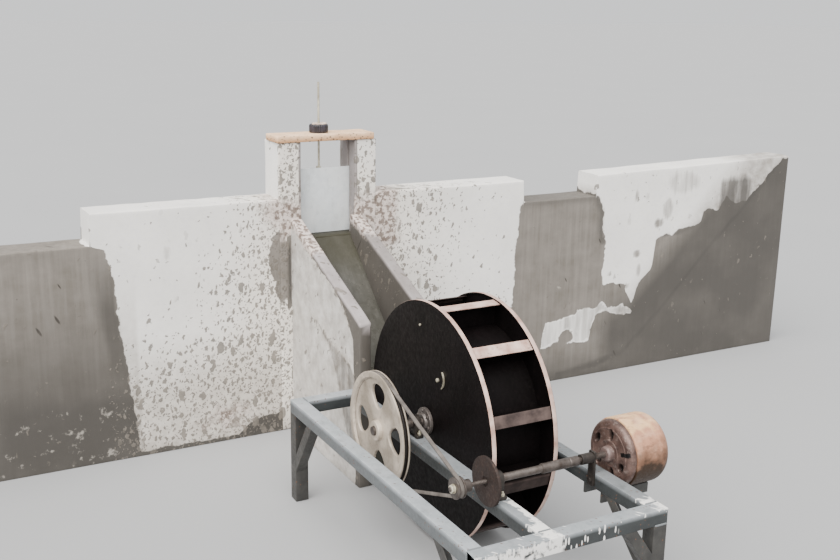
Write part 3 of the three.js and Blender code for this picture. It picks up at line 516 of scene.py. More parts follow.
# Sluice pillars: two slender concrete posts cast on the dam line, each with an upright slot
# for the gate. Their fronts caught most of the mud.
def outline(corners, radius, cell):
    """Closed outline through the corners. Each corner is a curve (1-t)^2 A + 2t(1-t) P + t^2 B
    between the points A and B at its radius from it, and straight runs get a point per cell."""
    corners = np.array(corners, float)
    radii = np.broadcast_to(radius, len(corners))
    area = np.sum(corners[:, 0] * np.roll(corners[:, 1], -1) - corners[:, 1] * np.roll(corners[:, 0], -1))
    if area < 0:
        corners, radii = corners[::-1], radii[::-1]
    t = np.linspace(0, 1, 4)[:, None]
    runs = []
    for before, corner, after, r, next_r in zip(
            np.roll(corners, 1, 0), corners, np.roll(corners, -1, 0), radii, np.roll(radii, -1)):
        entry = corner + (before - corner) * r / np.hypot(*(before - corner))
        leave = corner + (after - corner) * r / np.hypot(*(after - corner))
        far = after + (corner - after) * next_r / np.hypot(*(after - corner))
        runs.append((1 - t) ** 2 * entry + 2 * t * (1 - t) * corner + t ** 2 * leave)
        share = steps(0, 1, cell / np.hypot(*(far - leave)))[1:-1, None]
        runs.append(leave + share * (far - leave))
    return np.concatenate(runs)


def placed(axes, u, v, w):
    """Points whose u, v and w lie along the three letters of axes."""
    parts = dict(zip(axes, np.broadcast_arrays(u, v, w)))
    return np.stack([parts["x"], parts["y"], parts["z"]], -1)


def prism(corners, low, high, axes="xyz", cell=0.01, radius=0.003, edge=0.003):
    """Straight length of one section from low to high. The letters of axes say which way the
    section's u and v and the length w point. Ends are rounded by drawing the section in along
    its normals by edge (1 - sin a) while w moves by edge (1 - cos a)."""
    section = outline(corners, radius, cell)
    tangent = np.roll(section, -1, 0) - np.roll(section, 1, 0)
    normal = np.stack([tangent[:, 1], -tangent[:, 0]], -1) / np.hypot(*tangent.T)[:, None]
    a = np.linspace(0, np.pi / 2, 4)
    middle = steps(low + edge, high - edge, cell)[1:-1]
    w = np.concatenate([low + edge * (1 - np.cos(a)), middle, high - edge * (1 - np.cos(a[::-1]))])
    inset = np.concatenate([edge * (1 - np.sin(a)), np.zeros(len(middle)), edge * (1 - np.sin(a[::-1]))])
    flat = section[None] - normal[None] * inset[:, None, None]
    return loft(placed(axes, flat[..., 0], flat[..., 1], w[:, None]))


def rectangle(u0, u1, v0, v1):
    """Corners of a rectangle from u0 to u1 and from v0 to v1."""
    return [(u0, v0), (u1, v0), (u1, v1), (u0, v1)]


def uneven(shape, amount, size, seed):
    """Hand-made unevenness: each point moves along x by a wobble of (y, z), along y by one of
    (x, z) and, above the foot, along z by one of (x, y)."""
    points, faces = shape
    x, y, z = points.T
    moved = np.stack([
        x + amount * wobble(y, z, size, seed), y + amount * wobble(x, z, size, seed + 1),
        z + amount * wobble(x, y, size, seed + 2) * ramp(z, 0, 0.05),
    ], -1)
    return moved, faces


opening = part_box("sluice_sill")[1].x
pillar_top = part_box("left_pillar")[1].z
SLOT_DEPTH = 16 * MM
SLOT_HALF = 7 * MM
PILLAR_EDGE = 4 * MM
slot_y = front_y + 57 * MM
for side, word in ((-1, "left"), (1, "right")):
    corners = [
        (opening, front_y), (pillar_outer, front_y), (pillar_outer, back_y), (opening, back_y),
        (opening, slot_y + SLOT_HALF), (opening + SLOT_DEPTH, slot_y + SLOT_HALF),
        (opening + SLOT_DEPTH, slot_y - SLOT_HALF), (opening, slot_y - SLOT_HALF),
    ]
    post = prism([(side * x, y) for x, y in corners], 0, pillar_top, cell=DAM_CELL, edge=PILLAR_EDGE)
    shape = uneven(post, 0.0012, 0.2, 20 + side)
    x, y, z = np.abs(shape[0][:, 0]), shape[0][:, 1], shape[0][:, 2]
    on_front = y < front_y + PILLAR_EDGE
    inner = x < opening + PILLAR_EDGE
    at_back = y > back_y - PILLAR_EDGE
    # the left one has an open joint, drawn as a narrow band of dark bare mortar that is a
    # painted shadow in the gap, and the bare patches of the wall beside it
    joint_shadow = patch(x, z, 0.146, 0.575, 0.011, 0.13) if side < 0 else np.full(len(x), -1.0)
    paint = np.where(on_front, np.minimum(0.05, -bare_patches(x, z)) if side < 0 else 0.05, 0.02)
    paint = np.where(inner | on_front & (joint_shadow > 0), -0.05, paint)
    paint = np.where(at_back, np.minimum(0.02, z - back_wash_end), paint)
    mud = np.where(on_front, 0.9 if side < 0 else 0.75 - 0.4 * ramp(z, 0.9, 1.0), 0.04)
    cake = np.where(on_front, 0.8 * bell(z, 0.76, 0.09), np.where(inner, 0.45 * bell(z, 0.74, 0.06), 0))
    damp_and_shade = np.maximum.reduce([ramp(z, 0.1, 0), on_front * ramp(joint_shadow, 0, 0.004), at_back * back_damp(z)])
    piece(
        f"{word}_sluice_pillar", [shape], mortar_wash, "root", [f"{word}_pillar"],
        {"paint": paint, "mud": np.where(joint_shadow > 0, 0, mud), "cake": np.where(joint_shadow > 0, 0, cake),
         "neat": np.where(inner & ~at_back, 0.65, 0.0), "thin": 0.0, "bloom": 0.0, "damp_and_shade": damp_and_shade},
    )
sill_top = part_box("sluice_sill")[1].z
sill = uneven(prism(rectangle(-opening, opening, front_y, back_y), 0, sill_top), 0.0008, 0.2, 31)


# Cross board: a short cast slab of pink cement laid across the pillars, pitted, with chipped
# arrises. The gate rod comes up through a hole in it.
board_low, board_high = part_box("cross_board")


def pink_cement():
    """Cast pink cement: sandy, with air pits of 2 to 4 mm that hold dirt, and soiled patches."""
    material, tree, place = begin("pink_cement")
    tone = mottled(tree, place, "#F8D6B2", "#DDB792", 0.03, 0.3, 0.7)
    tone = mottled(tree, place, tone, "#9A806A", 0.006, 0.52, 0.75, 0.6)
    height_at = add(tree, "SeparateXYZ", [place], "Z")
    soiled = add(tree, "MapRange", [height_at, board_high.z - 0.002, board_low.z + 0.004, 0, 0.75])
    tone = add(tree, "MixRGB", [soiled, tone, "#B08055"])
    low_edge = add(tree, "MapRange", [height_at, board_high.z - 0.006, board_low.z, 0.12, 0.85])
    pit = spots(tree, place, low_edge, 0.011, 1.2, 0.36, 0.1)
    tone = add(tree, "MixRGB", [pit, tone, "#6A5646"])
    sand = add(tree, "TexNoise", {"Vector": place, "Scale": 160, "Detail": 4})
    return finish_with(material, tree, relief(tree, (sand, 1), (pit, -0.8)), 0.0015, {
        "Base Color": tone, "Roughness": 0.88,
    })


ROD_X = -11 * MM
BOARD_HOLE = 7 * MM


def pierced(section, centre, bore, low, high, axes="xyz", soft=0.002):
    """Plate with a round hole. Each outline point P has the hole's point c + bore (P - c) /
    |P - c| in its direction, and the plate is a loop of bands from hole to outline and back."""
    section = np.array(section, float)
    away = section - centre
    length = np.hypot(*away.T)[:, None]
    share = np.concatenate([np.linspace(0, 1, 6), [1, 1, 1, 1], np.linspace(1, 0, 6)])
    inset = np.concatenate([np.linspace(0, 1, 6), [0.3, 0, 0, 0.3], np.linspace(1, 0, 6)]) * soft
    wall = [low + 0.3 * soft, low + soft, high - soft, high - 0.3 * soft]
    w = np.concatenate([np.full(6, low), wall, np.full(6, high)])
    reach = bore + share * (length - bore) - inset
    flat = np.array(centre) + reach[..., None] * (away / length)[:, None]
    return loft(placed(axes, flat[..., 0], flat[..., 1], w), loop=True)


slab = outline(rectangle(board_low.x, board_high.x, board_low.y, board_high.y), 0.004, 0.006)
slab = uneven(pierced(slab, (ROD_X, slot_y), BOARD_HOLE, board_low.z, board_high.z), 0.0008, 0.05, 41)
piece("cross_slab", [slab], pink_cement(), "root", ["cross_board"])


# Sluice gate: a sheet of zinc-coated steel that slides in the pillar slots, hung on a
# threaded rod with a clamp. A ribbed black hand nut on the board carries the rod.
def weathered_zinc_sheet():
    """Zinc-coated sheet gone dull: crystals of 14 mm, white rust in blotches of 50 mm and
    dark runs down the sheet."""
    material, tree, place = begin("weathered_zinc_sheet")
    crystal = add(tree, "TexVoronoi", {"Vector": place, "Scale": 70}, "Color")
    facet = add(tree, "SeparateColor", [crystal])
    tone = add(tree, "MixRGB", [facet, "#E2E8EB", "#D8DEE2"])
    tone = mottled(tree, place, tone, "#EAEDEC", 0.05, 0.45, 0.7, 0.6)
    tone = mottled(tree, place, tone, "#A9ADAD", 0.014, 0.52, 0.75, 0.4, stretch=(1, 1, 0.4))
    waves = add(tree, "TexNoise", {"Vector": place, "Scale": 25, "Detail": 4})
    return finish_with(material, tree, relief(tree, (waves, 1), (facet, 0.15)), 0.0008, {
        "Base Color": tone, "Metallic": 0.1, "Roughness": add(tree, "MapRange", [waves, 0.3, 0.7, 0.4, 0.65]),
    })


def turned(profile, centre, segments=96, axis="x", loop=False):
    """Body turned about a line along one axis: each profile point (w, r) sweeps the circle
    r (cos a, sin a) about the centre at w. A profile with a bore closes on itself."""
    w, r = np.array(profile, float).T
    a = np.linspace(0, 2 * np.pi, segments, endpoint=False)
    axes = {"x": "yzx", "z": "xyz"}[axis]
    points = placed(axes, r[:, None] * np.cos(a), r[:, None] * np.sin(a), w[:, None])
    return loft(points + np.array(centre, float), loop)


def soft_profile(corners, radius, loop=False):
    """Profile through the corners, with each inner corner replaced by the curve
    (1-t)^2 A + 2t(1-t) P + t^2 B, whose ends lie at the radius or 45% of the run from it."""
    corners = np.array(corners, float)
    t = np.linspace(0, 1, 5)[:, None]
    points = [] if loop else [corners[:1]]
    ids = range(len(corners)) if loop else range(1, len(corners) - 1)
    for i in ids:
        before, corner, after = corners[i - 1], corners[i], corners[(i + 1) % len(corners)]
        back, ahead = before - corner, after - corner
        entry = corner + back * min(radius / np.hypot(*back), 0.45)
        leave = corner + ahead * min(radius / np.hypot(*ahead), 0.45)
        points.append((1 - t) ** 2 * entry + 2 * t * (1 - t) * corner + t ** 2 * leave)
    if not loop:
        points.append(corners[-1:])
    return np.concatenate(points)


def hexagon(x, y, z0, z1, across, axes="xyz"):
    """Hexagon nut or bolt head of the given width across its flats."""
    a = np.radians(np.arange(6) * 60 + 12)
    corners = np.stack([x + across / 1.732 * np.cos(a), y + across / 1.732 * np.sin(a)], -1)
    return prism(corners, z0, z1, axes, cell=0.02, radius=across * 0.06, edge=across * 0.06)


CUT_EDGE = 0.0006
GATE_BOW = 0.0015
plate_low, plate_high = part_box("gate_plate")
points, faces = prism(rectangle(plate_low.x, plate_high.x, plate_low.z, plate_high.z), plate_low.y, plate_high.y,
                      "xzy", radius=0.001, edge=CUT_EDGE)
x, y, z = points.T
bow = GATE_BOW * np.cos(np.pi * x / (plate_high.x - plate_low.x)) * wobble(x, z, 0.2, 44)
piece("zinc_gate", [(np.stack([x, y + bow, z], -1), faces)], weathered_zinc_sheet(),
      "sluice_gate", ["gate_plate"])


def plated_steel():
    """Zinc-plated steel, handled and slightly stained: a pale yellow-grey with a soft shine."""
    material, tree, place = begin("zinc_plated_steel")
    scuffs = add(tree, "TexNoise", {"Vector": place, "Scale": 250, "Detail": 3})
    return finish_with(material, tree, scuffs, 0.0004, {
        "Base Color": mottled(tree, place, "#D8D3C0", "#A8A08C", 0.01), "Metallic": 0.7, "Roughness": 0.42,
    })


# the thread is drawn at 2.5 mm pitch, twice the real one, so that it shows
THREAD_PITCH = 2.5 * MM
THREAD_DEPTH = 0.45 * MM
ROD_RADIUS = 4 * MM
CLAMP_HALF = 8 * MM
clamp_top = plate_high.z + 0.006
rod_steel = plated_steel()
w = np.arange(clamp_top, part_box("gate_rod")[1].z, THREAD_PITCH / 4)[:, None]
a = np.linspace(0, 2 * np.pi, 12, endpoint=False)
tooth = np.abs(((w / THREAD_PITCH + a / (2 * np.pi)) % 1) * 2 - 1)
r = ROD_RADIUS - THREAD_DEPTH * tooth
thread = loft(placed("xyz", ROD_X + r * np.cos(a), slot_y + r * np.sin(a), w))
clamp, tongue = (
    prism(rectangle(ROD_X - CLAMP_HALF, ROD_X + CLAMP_HALF, slot_y + near, slot_y + 6.5 * MM), foot, head,
          radius=0.001, edge=0.001)
    for near, foot, head in (
        (-2 * MM, plate_high.z, clamp_top), (1.5 * MM, plate_high.z - 0.03, plate_high.z + 0.001)))
piece("threaded_rod", [thread, clamp, tongue], rod_steel, "sluice_gate", ["gate_rod"])

nut_low, nut_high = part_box("hand_nut")
NUT_RADIUS = 33 * MM
NUT_RIBS = 24
NUT_BORE = ROD_RADIUS + 0.4 * MM
GREASE_LUMPS = 16
rod_centre = (ROD_X, slot_y, 0)
dish_floor = nut_high.z - 0.009
washer_top = nut_high.z - 0.004
# black moulded nylon, worn to a satin: a soft sheen with a fine grain
black_nylon, tree, place = begin("black_moulded_nylon")
grain = add(tree, "TexNoise", {"Vector": place, "Scale": 330, "Detail": 3})
finish_with(black_nylon, tree, grain, 0.0003, {
    "Base Color": mottled(tree, place, "#1D1B21", "#33303B", 0.01, 0.45, 0.7),
    "Roughness": add(tree, "MapRange", [grain, 0.3, 0.7, 0.32, 0.5]),
})
profile = soft_profile([
    (nut_low.z, NUT_BORE), (nut_low.z, NUT_RADIUS - 2 * MM), (nut_low.z + 0.004, NUT_RADIUS),
    (nut_high.z - 0.006, NUT_RADIUS), (nut_high.z - 0.002, NUT_RADIUS - 3 * MM),
    (nut_high.z - 0.003, 0.014), (dish_floor, 0.012), (dish_floor, NUT_BORE),
], 0.002, loop=True)
points, faces = turned(profile, rod_centre, 192, "z", loop=True)
x, y = points[:, 0] - ROD_X, points[:, 1] - slot_y
ribbed = 1 - 0.05 * ramp(np.hypot(x, y) - 0.029, 0, 0.003) * np.abs(np.sin(np.arctan2(y, x) * NUT_RIBS / 2)) ** 3
points = np.stack([ROD_X + x * ribbed, slot_y + y * ribbed, points[:, 2]], -1)
piece("ribbed_hand_nut", [(points, faces)], black_nylon, "hand_nut", ["hand_nut"])
washer = turned(soft_profile([
    (dish_floor, 0.0045), (dish_floor, 0.0115), (washer_top, 0.0115), (washer_top, 0.0045),
], 0.0005, loop=True), rod_centre, 32, "z", loop=True)
# grease mixed with cement dust: pale, lumpy and half shiny
grease, tree, place = begin("dusty_grease")
lumpy = add(tree, "TexNoise", {"Vector": place, "Scale": 170, "Detail": 5})
finish_with(grease, tree, lumpy, 0.002, {
    "Base Color": mottled(tree, place, "#E3D2C4", "#A8948A", 0.006), "Roughness": 0.5,
})
draw = np.random.default_rng(7)
lumps = []
for angle in np.arange(GREASE_LUMPS) * 0.75:
    size = draw.uniform(0.004, 0.0075)
    reach = draw.uniform(0.010, 0.024)
    t = np.linspace(0, np.pi, 9)
    ball = np.stack([-np.cos(t) * size * 0.7, np.sin(t) * size], -1)
    lumps.append(turned(ball, (
        ROD_X + reach * math.cos(angle), slot_y + reach * math.sin(angle), nut_high.z - 0.001,
    ), 14, "z"))
piece("nut_washer", [washer, hexagon(ROD_X, slot_y, nut_high.z - 0.0038, nut_high.z + 0.0022, 0.013)],
      rod_steel, "hand_nut")
piece("nut_grease", lumps, grease, "hand_nut")


# Chute: two thin mortar-faced side walls and a steep ramp between them, cast against the
# dam. The upper arrises are caked with mud, the ramp is always wet.
chute_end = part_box("chute_left_wall")[0].y
CHUTE_TOP_DAM = 0.762
CHUTE_TOP_END = 0.538
RAMP_DAM = 0.690
RAMP_BEND_Y = 0.335
RAMP_BEND = 0.338
RAMP_END = 0.331
for side, word in ((-1, "left"), (1, "right")):
    low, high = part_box(f"chute_{word}_wall")
    is_left = side < 0
    run = np.concatenate([
        chute_end + np.array([0, 0.0015, 0.004]), steps(chute_end + 0.015, front_y + 0.003, DAM_CELL)])
    inset = np.concatenate([[0.004, 0.0015, 0.0], np.zeros(len(run) - 3)])
    top = CHUTE_TOP_END + (CHUTE_TOP_DAM - CHUTE_TOP_END) * ramp(run, chute_end, front_y)
    y, x, z, on_top = wall_rings(run, top, low.x, high.x, inset)
    shape = uneven(loft(np.stack([x, y, z], -1)), 0.0012, 0.15, 50 + side)
    below = (np.broadcast_to(top[:, None], z.shape) - z).ravel()
    x, y, z = x.ravel(), y.ravel(), z.ravel()
    on_top = on_top[None].repeat(len(run), 0).ravel()
    outer = (side * (x - (low.x + high.x) / 2) > 0) & ~on_top
    # the wash on the outer face stops short of the top and of the end, and a wet band runs
    # down it slantwise from a spill
    bare_below = np.interp(
        y, [0.212, 0.217, 0.227, 0.258, 0.30, 0.342, 0.428, 0.462, 0.60, 0.66],
        [0.40, 0.16, 0.08, 0.055, 0.025, 0.014, 0.012, 0.018, 0.018, 0.0])
    paint = np.minimum(below - bare_below, y - 0.209)
    paint = np.where(outer, paint, np.where(on_top, -0.02, -0.03))
    band_head = np.interp(y, [0.207, 0.248, 0.353, 0.419, 0.499, 0.52], [0.363, 0.392, 0.42, 0.434, 0.465, 0.465])
    band_foot = np.interp(y, [0.25, 0.322, 0.354, 0.409, 0.465, 0.522], [0.10, 0.25, 0.316, 0.394, 0.426, 0.465])
    in_band = ramp(np.minimum(band_head - z, z - band_foot), 0, 0.012) * outer * is_left
    edge_marks = bell(z - band_head, -0.01, 0.02) * (y < 0.53) * is_left
    mud = np.where(outer, 0.03 + 0.55 * bell(below, bare_below, 0.012) * (y > 0.25) + 0.4 * edge_marks, 0.12)
    mud = np.where(y < 0.21, 0.05, mud)
    upper = ramp(y - (0.47 if is_left else 0.55), 0, 0.1)
    cake = np.where(on_top, 0.85 * upper, 0.8 * upper * ramp(below, 0.05, 0.01))
    cake = np.where(outer & (not is_left), 0, cake)
    # painted shade: damp 0.78 greys the wash all over the outer face, the wet band darkens it further, and the last 10
    # mm at the dam are darkened as a painted shadow in the joint
    damp_and_shade = np.where(outer, 0.78 + 0.22 * in_band, np.where(on_top, 0.1 if is_left else 0.45, 0.8))
    damp_and_shade = np.maximum.reduce([damp_and_shade, ramp(z, 0.1, 0), 0.75 * ramp(y, 0.215, 0.205)])
    piece(
        f"chute_{word}_side", [shape], mortar_wash, "root", [f"chute_{word}_wall"],
        {"paint": paint, "mud": mud, "cake": cake, "damp_and_shade": damp_and_shade,
         "neat": np.where(on_top, 0.9 if is_left else 0.55, 0.0), "thin": 0.5 * in_band,
         "bloom": np.where(y < 0.2, 0.3, 0.1)},
    )
low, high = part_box("chute_ramp")
shape = uneven(prism([
    (chute_end, 0), (front_y + 0.001, 0), (front_y + 0.001, RAMP_DAM), (RAMP_BEND_Y, RAMP_BEND), (chute_end, RAMP_END),
], low.x, high.x, "yzx", cell=DAM_CELL, radius=0.004, edge=0.001), 0.0015, 0.1, 57)


def wet_ramp_mortar():
    """Mortar that never dries: green-grey slime in streaks down the slope, glossy. An attribute
    adds a dark, matt olive that is painted shade."""
    material, tree, place = begin("wet_ramp_mortar")
    tone = mottled(tree, place, "#504F4A", "#3A3A34", 0.04, 0.3, 0.7, stretch=(1.6, 0.5, 0.5))
    tone = mottled(tree, place, tone, "#6D6B64", 0.008, 0.55, 0.78, 0.35)
    olive_shade = add(tree, "Attribute", output="Fac", attribute_name="olive_shade")
    tone = add(tree, "MixRGB", [olive_shade, tone, "#2F2D1C"])
    slime = add(tree, "TexNoise", {"Vector": place, "Scale": 25, "Detail": 6})
    gloss = add(tree, "MapRange", [slime, 0.3, 0.7, 0.2, 0.42])
    return finish_with(material, tree, slime, 0.003, {
        "Base Color": tone, "Roughness": add(tree, "Math", [olive_shade, 0.5, gloss], operation="MULTIPLY_ADD"),
    })


ramp_mortar = wet_ramp_mortar()
# painted shade: dark olive at the top of the bed, and on the sill under the gate, less on its back
piece("chute_bed", [shape], ramp_mortar, "root", ["chute_ramp"],
      {"olive_shade": 0.7 * ramp(shape[0][:, 1], 0.58, 0.66)})
piece("gate_sill", [sill], ramp_mortar, "root", ["sluice_sill"],
      {"olive_shade": np.where(sill[0][:, 1] > back_y - 0.01, 0.25, 0.9)})


# Frame: 40 mm equal angle, hot-dip galvanised and gone dull, welded at the corners. Two
# beams carry three rails, and four legs with knee braces of 30 mm angle hold them up.
ANGLE = 0.040
ANGLE_THICK = 0.004
BRACE = 0.030
BRACE_THICK = 0.003


def galvanised_angle():
    """Hot-dip galvanised steel, dulled by weather: zinc crystals of 10 mm, cement dust on the
    flat faces, drip stains and freckles of rust. The attribute lime is the share of spilt
    wash. The attribute shade paints shade: 0 leaves a face pale, as on the lit tops, 1 gives
    the painted shade of the sides, streaked with drip stains, and 2 a deeper painted shade on
    the legs and braces."""
    material, tree, place = begin("galvanised_angle")
    lime = add(tree, "Attribute", output="Fac", attribute_name="lime")
    crystal = add(tree, "TexVoronoi", {"Vector": place, "Scale": 100}, "Color")
    facet = add(tree, "SeparateColor", [crystal])
    pale = add(tree, "MixRGB", [facet, "#A3AAAE", "#989FA4"])
    pale = mottled(tree, place, pale, "#B3B7BD", 0.03, 0.42, 0.68, 0.7)
    # the sides' tone: a painted shade, streaked with drip stains
    stain_and_shade = mottled(tree, place, "#3D4142", "#2C2F30", 0.03, 0.35, 0.7, stretch=(0.6, 0.6, 1))
    shade = add(tree, "Attribute", output="Fac", attribute_name="shade")
    tone = add(tree, "MixRGB", [shade, pale, stain_and_shade])
    # from 1 to 2 a deeper painted shade, for the legs and braces
    painted_deep_shade = add(tree, "MapRange", [shade, 1, 2])
    tone = add(tree, "MixRGB", [painted_deep_shade, tone, mottled(tree, place, "#4A4845", "#353331", 0.02)])
    tone = mottled(tree, place, tone, "#4A4844", 0.012, 0.56, 0.76, 0.4, stretch=(0.5, 0.5, 1))
    freckles = spots(tree, place, 0.16, 0.012, 1, 0.2, 0.08)
    tone = add(tree, "MixRGB", [freckles, tone, "#6B4B38"])
    splash = spots(tree, place, lime, 0.008, 0.28, 0.42, 0.05)
    ragged = add(tree, "TexNoise", {"Vector": place, "Scale": 60, "Detail": 5})
    poured = add(tree, "Math", [ragged, lime], operation="ADD")
    poured = add(tree, "MapRange", [poured, 1.2, 1.36])
    splash = add(tree, "Math", [splash, poured], operation="MAXIMUM")
    tone = add(tree, "MixRGB", [splash, tone, "#E6E5E2"])
    scale = add(tree, "TexNoise", {"Vector": place, "Scale": 120, "Detail": 5})
    rough = add(tree, "MapRange", [scale, 0.3, 0.7, 0.42, 0.6])
    metal = add(tree, "MapRange", [splash, 0, 1, 0.25, 0])
    return finish_with(material, tree, relief(tree, (scale, 1), (facet, 0.1), (splash, 0.6)), 0.0006, {
        "Base Color": tone, "Roughness": rough, "Metallic": metal,
    })


def angle_section(u, v, sign, leg, thick):
    """Corners of equal angle with its heel at (u, v). One leaf points along +u, the other along
    v by the sign. ANGLE_RADII rounds the toes and fillets the root."""
    run = [(0, 0), (leg, 0), (leg, thick), (thick, thick), (thick, leg), (0, leg)]
    return [(u + a, v + sign * b) for a, b in run]


ANGLE_RADII = [0.001, 0.0008, 0.0025, 0.005, 0.0025, 0.0008]
zinc = galvanised_angle()
for node, axes, ends in (
    ("outer_rail", "xzy", "y"), ("inner_rail", "xzy", "y"), ("right_rail", "xzy", "y"),
    ("near_beam", "yzx", "x"), ("far_beam", "yzx", "x"),
    ("leg_near_left", "xyz", "z"), ("leg_near_right", "xyz", "z"),
    ("leg_far_left", "xyz", "z"), ("leg_far_right", "xyz", "z"),
):
    low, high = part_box(node)
    is_leg = ends == "z"
    heel_u = getattr(low, axes[0])
    heel_v = low.y if is_leg else high.z
    section = angle_section(heel_u, heel_v, 1 if is_leg else -1, ANGLE, ANGLE_THICK)
    shape = prism(section, getattr(low, ends), getattr(high, ends), axes, cell=0.012, radius=ANGLE_RADII, edge=CUT_EDGE)
    x, y, z = shape[0].T
    on_top = z > high.z - 0.0012
    # painted shade: these three tops are drawn part way to the sides' shaded tone, the sides get it in full (less on
    # the outer rail) and the legs deeper still
    top_shade = {"right_rail": 0.45, "inner_rail": 0.3, "near_beam": 0.15}.get(node, 0.0)
    shade = 1.8 if is_leg else np.where(on_top, top_shade, 0.75 if node == "outer_rail" else 1.0)
    lime = 0.0
    if node == "near_beam":
        on_face = ramp(y - low.y, 0.012, 0.002)
        lime = np.interp(x, [-0.12, -0.10, 0.05, 0.08], [0.88, 0.36, 0.29, 0]) * on_face
        lime = lime - 0.2 * (z > high.z - 0.006)
        lime = np.maximum(lime, 0.95 * (bell(x, -0.142, 0.04) + bell(x, 0.2, 0.06)) * on_top)
    if node == "inner_rail":
        lime = 0.95 * ramp(y, -0.765, -0.785)
        lime = np.maximum(lime, 0.85 * (x > high.x - 0.016) * ramp(y, -0.62, -0.65)) * on_top
    if node == "right_rail":
        lime = 0.9 * ramp(y, -0.775, -0.795) * on_top
    piece(f"angle_{node}", [shape], zinc, "root", [node], {"lime": lime, "shade": shade})


def brace_shape(axes, corner, sign, along, down, face):
    """Knee brace of angle between a leg, met at u = corner, and the bar above it, met at the
    top. A section point n inside the outer edge moves both ends by n times the hypotenuse
    ratio, so that the ends are cut to the leg and the bar."""
    section = outline(angle_section(0, 0, 1, BRACE, BRACE_THICK), ANGLE_RADII, 0.01)
    n, depth = section.T
    slope = down / along
    shift = n * math.hypot(1, 1 / slope)
    foot_u, foot_v = np.full(len(n), corner), leg_top - down + shift * slope
    head_u, head_v = corner + sign * (along - shift), np.full(len(n), leg_top)
    t = np.linspace(0, 1, 9)[:, None]
    return loft(placed(axes, foot_u + t * (head_u - foot_u), foot_v + t * (head_v - foot_v), face + depth))


leg_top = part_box("leg_near_left")[1].z
for node, axes, sign in (
    ("left_far_brace", "yzx", -1), ("left_near_brace", "yzx", 1),
    ("right_far_brace", "yzx", -1), ("right_near_brace", "yzx", 1), ("beam_right_brace", "xzy", -1),
):
    low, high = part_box(node)
    run_low, run_high = getattr(low, axes[0]), getattr(high, axes[0])
    shape = brace_shape(axes, run_high if sign < 0 else run_low, sign, run_high - run_low,
                        leg_top - low.z, getattr(low, axes[2]))
    piece(f"angle_{node}", [shape], zinc, "root", [node], {"shade": 1.8})


WELD_RADIUS = 0.003
WELD_RIPPLE = 0.004


def weld(start, end):
    """Weld bead: a round section carried along a line, whose radius falls by a quarter
    between ripples as |sin(pi s / ripple)| and shrinks to the ends."""
    start, end = np.array(start), np.array(end)
    length = np.linalg.norm(end - start)
    s = steps(0, length, WELD_RIPPLE / 4)
    at_end = np.clip(np.minimum(s, length - s) / 0.002, 0.05, 1)
    r = WELD_RADIUS * (0.75 + 0.25 * np.abs(np.sin(np.pi * s / WELD_RIPPLE))) * np.sqrt(at_end)
    first = np.cross(end - start, (0.3, 0.5, 0.8))
    first /= np.linalg.norm(first)
    second = np.cross(end - start, first) / length
    a = np.linspace(0, 2 * np.pi, 8, endpoint=False)
    ring = r[:, None, None] * (np.cos(a)[:, None] * first + np.sin(a)[:, None] * second)
    return loft(start + (s / length)[:, None, None] * (end - start) + ring)


rail_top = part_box("outer_rail")[1].z
near_low, near_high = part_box("near_beam")
far_low, far_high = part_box("far_beam")
bead_z = rail_top - 0.0006
beads = []
for node in ("outer_rail", "inner_rail", "right_rail"):
    low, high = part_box(node)
    beads.append(weld((low.x + 0.002, near_high.y, bead_z), (high.x - 0.002, near_high.y, bead_z)))
    beads.append(weld((low.x, near_high.y, low.z + 0.003), (low.x, near_high.y, rail_top - 0.003)))
for x in (near_low.x, near_high.x - ANGLE):
    beads.append(weld((x + 0.002, near_low.y, leg_top), (x + ANGLE - 0.002, near_low.y, leg_top)))
    beads.append(weld((x, near_low.y + 0.003, leg_top), (x, near_high.y - 0.002, leg_top)))
for x in (far_low.x, far_high.x):
    beads.append(weld((x, far_low.y, bead_z), (x, far_high.y - 0.002, bead_z)))
piece("frame_weld_beads", beads, zinc, "root", attributes={"shade": 0.6}, crease=60)


# Water wheel: two sheet steel discs with folded rims, a drum between them and eleven blades
# with bent lips, all welded and blackened with bitumen, which is scraped off the rims
def wet_bitumen():
    """Bitumen paint over steel: near black with a faint brown cast and a soft shine. The
    attribute worn is the share of paint scraped to pale scale, dust that of a grey film."""
    material, tree, place = begin("bitumen_paint")
    worn, dust = (add(tree, "Attribute", output="Fac", attribute_name=name) for name in ("worn", "dust"))
    tone = mottled(tree, place, "#090707", "#100C0D", 0.05, 0.35, 0.7, stretch=(1, 1, 0.5))
    tone = mottled(tree, place, tone, "#2B2321", 0.008, 0.6, 0.8, 0.25)
    tone = add(tree, "MixRGB", [dust, tone, mottled(tree, place, "#6A5C58", "#463D3B", 0.02)])
    bare = add(tree, "TexNoise", {"Vector": place, "Scale": 90, "Detail": 6})
    edge = add(tree, "Math", [bare, worn], operation="ADD")
    shown = add(tree, "MapRange", [edge, 0.95, 1.15])
    tone = add(tree, "MixRGB", [shown, tone, mottled(tree, place, "#D0B8AE", "#A5867B", 0.02)])
    dull = add(tree, "MapRange", [bare, 0.3, 0.7, 0.42, 0.62])
    return finish_with(material, tree, bare, 0.0008, {
        "Base Color": tone, "Roughness": dull, "Specular IOR Level": 0.08,
    })


WHEEL_RADIUS = 0.340
RIM_WIDTH = 0.014
RIM_THICK = 0.004
DISC_THICK = 0.004
DISC_BUCKLE = 0.0012
DRUM_RADIUS = 0.262
BLADE_COUNT = 11
BLADE_THICK = 0.003
BLADE_LIP = 0.033
BLADE_SLANT = 0.003
FIRST_BLADE = math.radians(86.4)
BLADE_WEAR = [0.8, 0.75, 0.2, 0.15, 0.2, 0.5]
BLADE_DUST = [0.0, 0.0, 0.75, 0.3, 0.4, 0.5]
wheel_low, wheel_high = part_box("wheel_left_disc")
wheel_y, wheel_z = (wheel_low.y + wheel_high.y) / 2, 0.355
wheel_left, wheel_right = wheel_low.x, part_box("wheel_right_disc")[1].x
AXLE_RADIUS = 0.0125
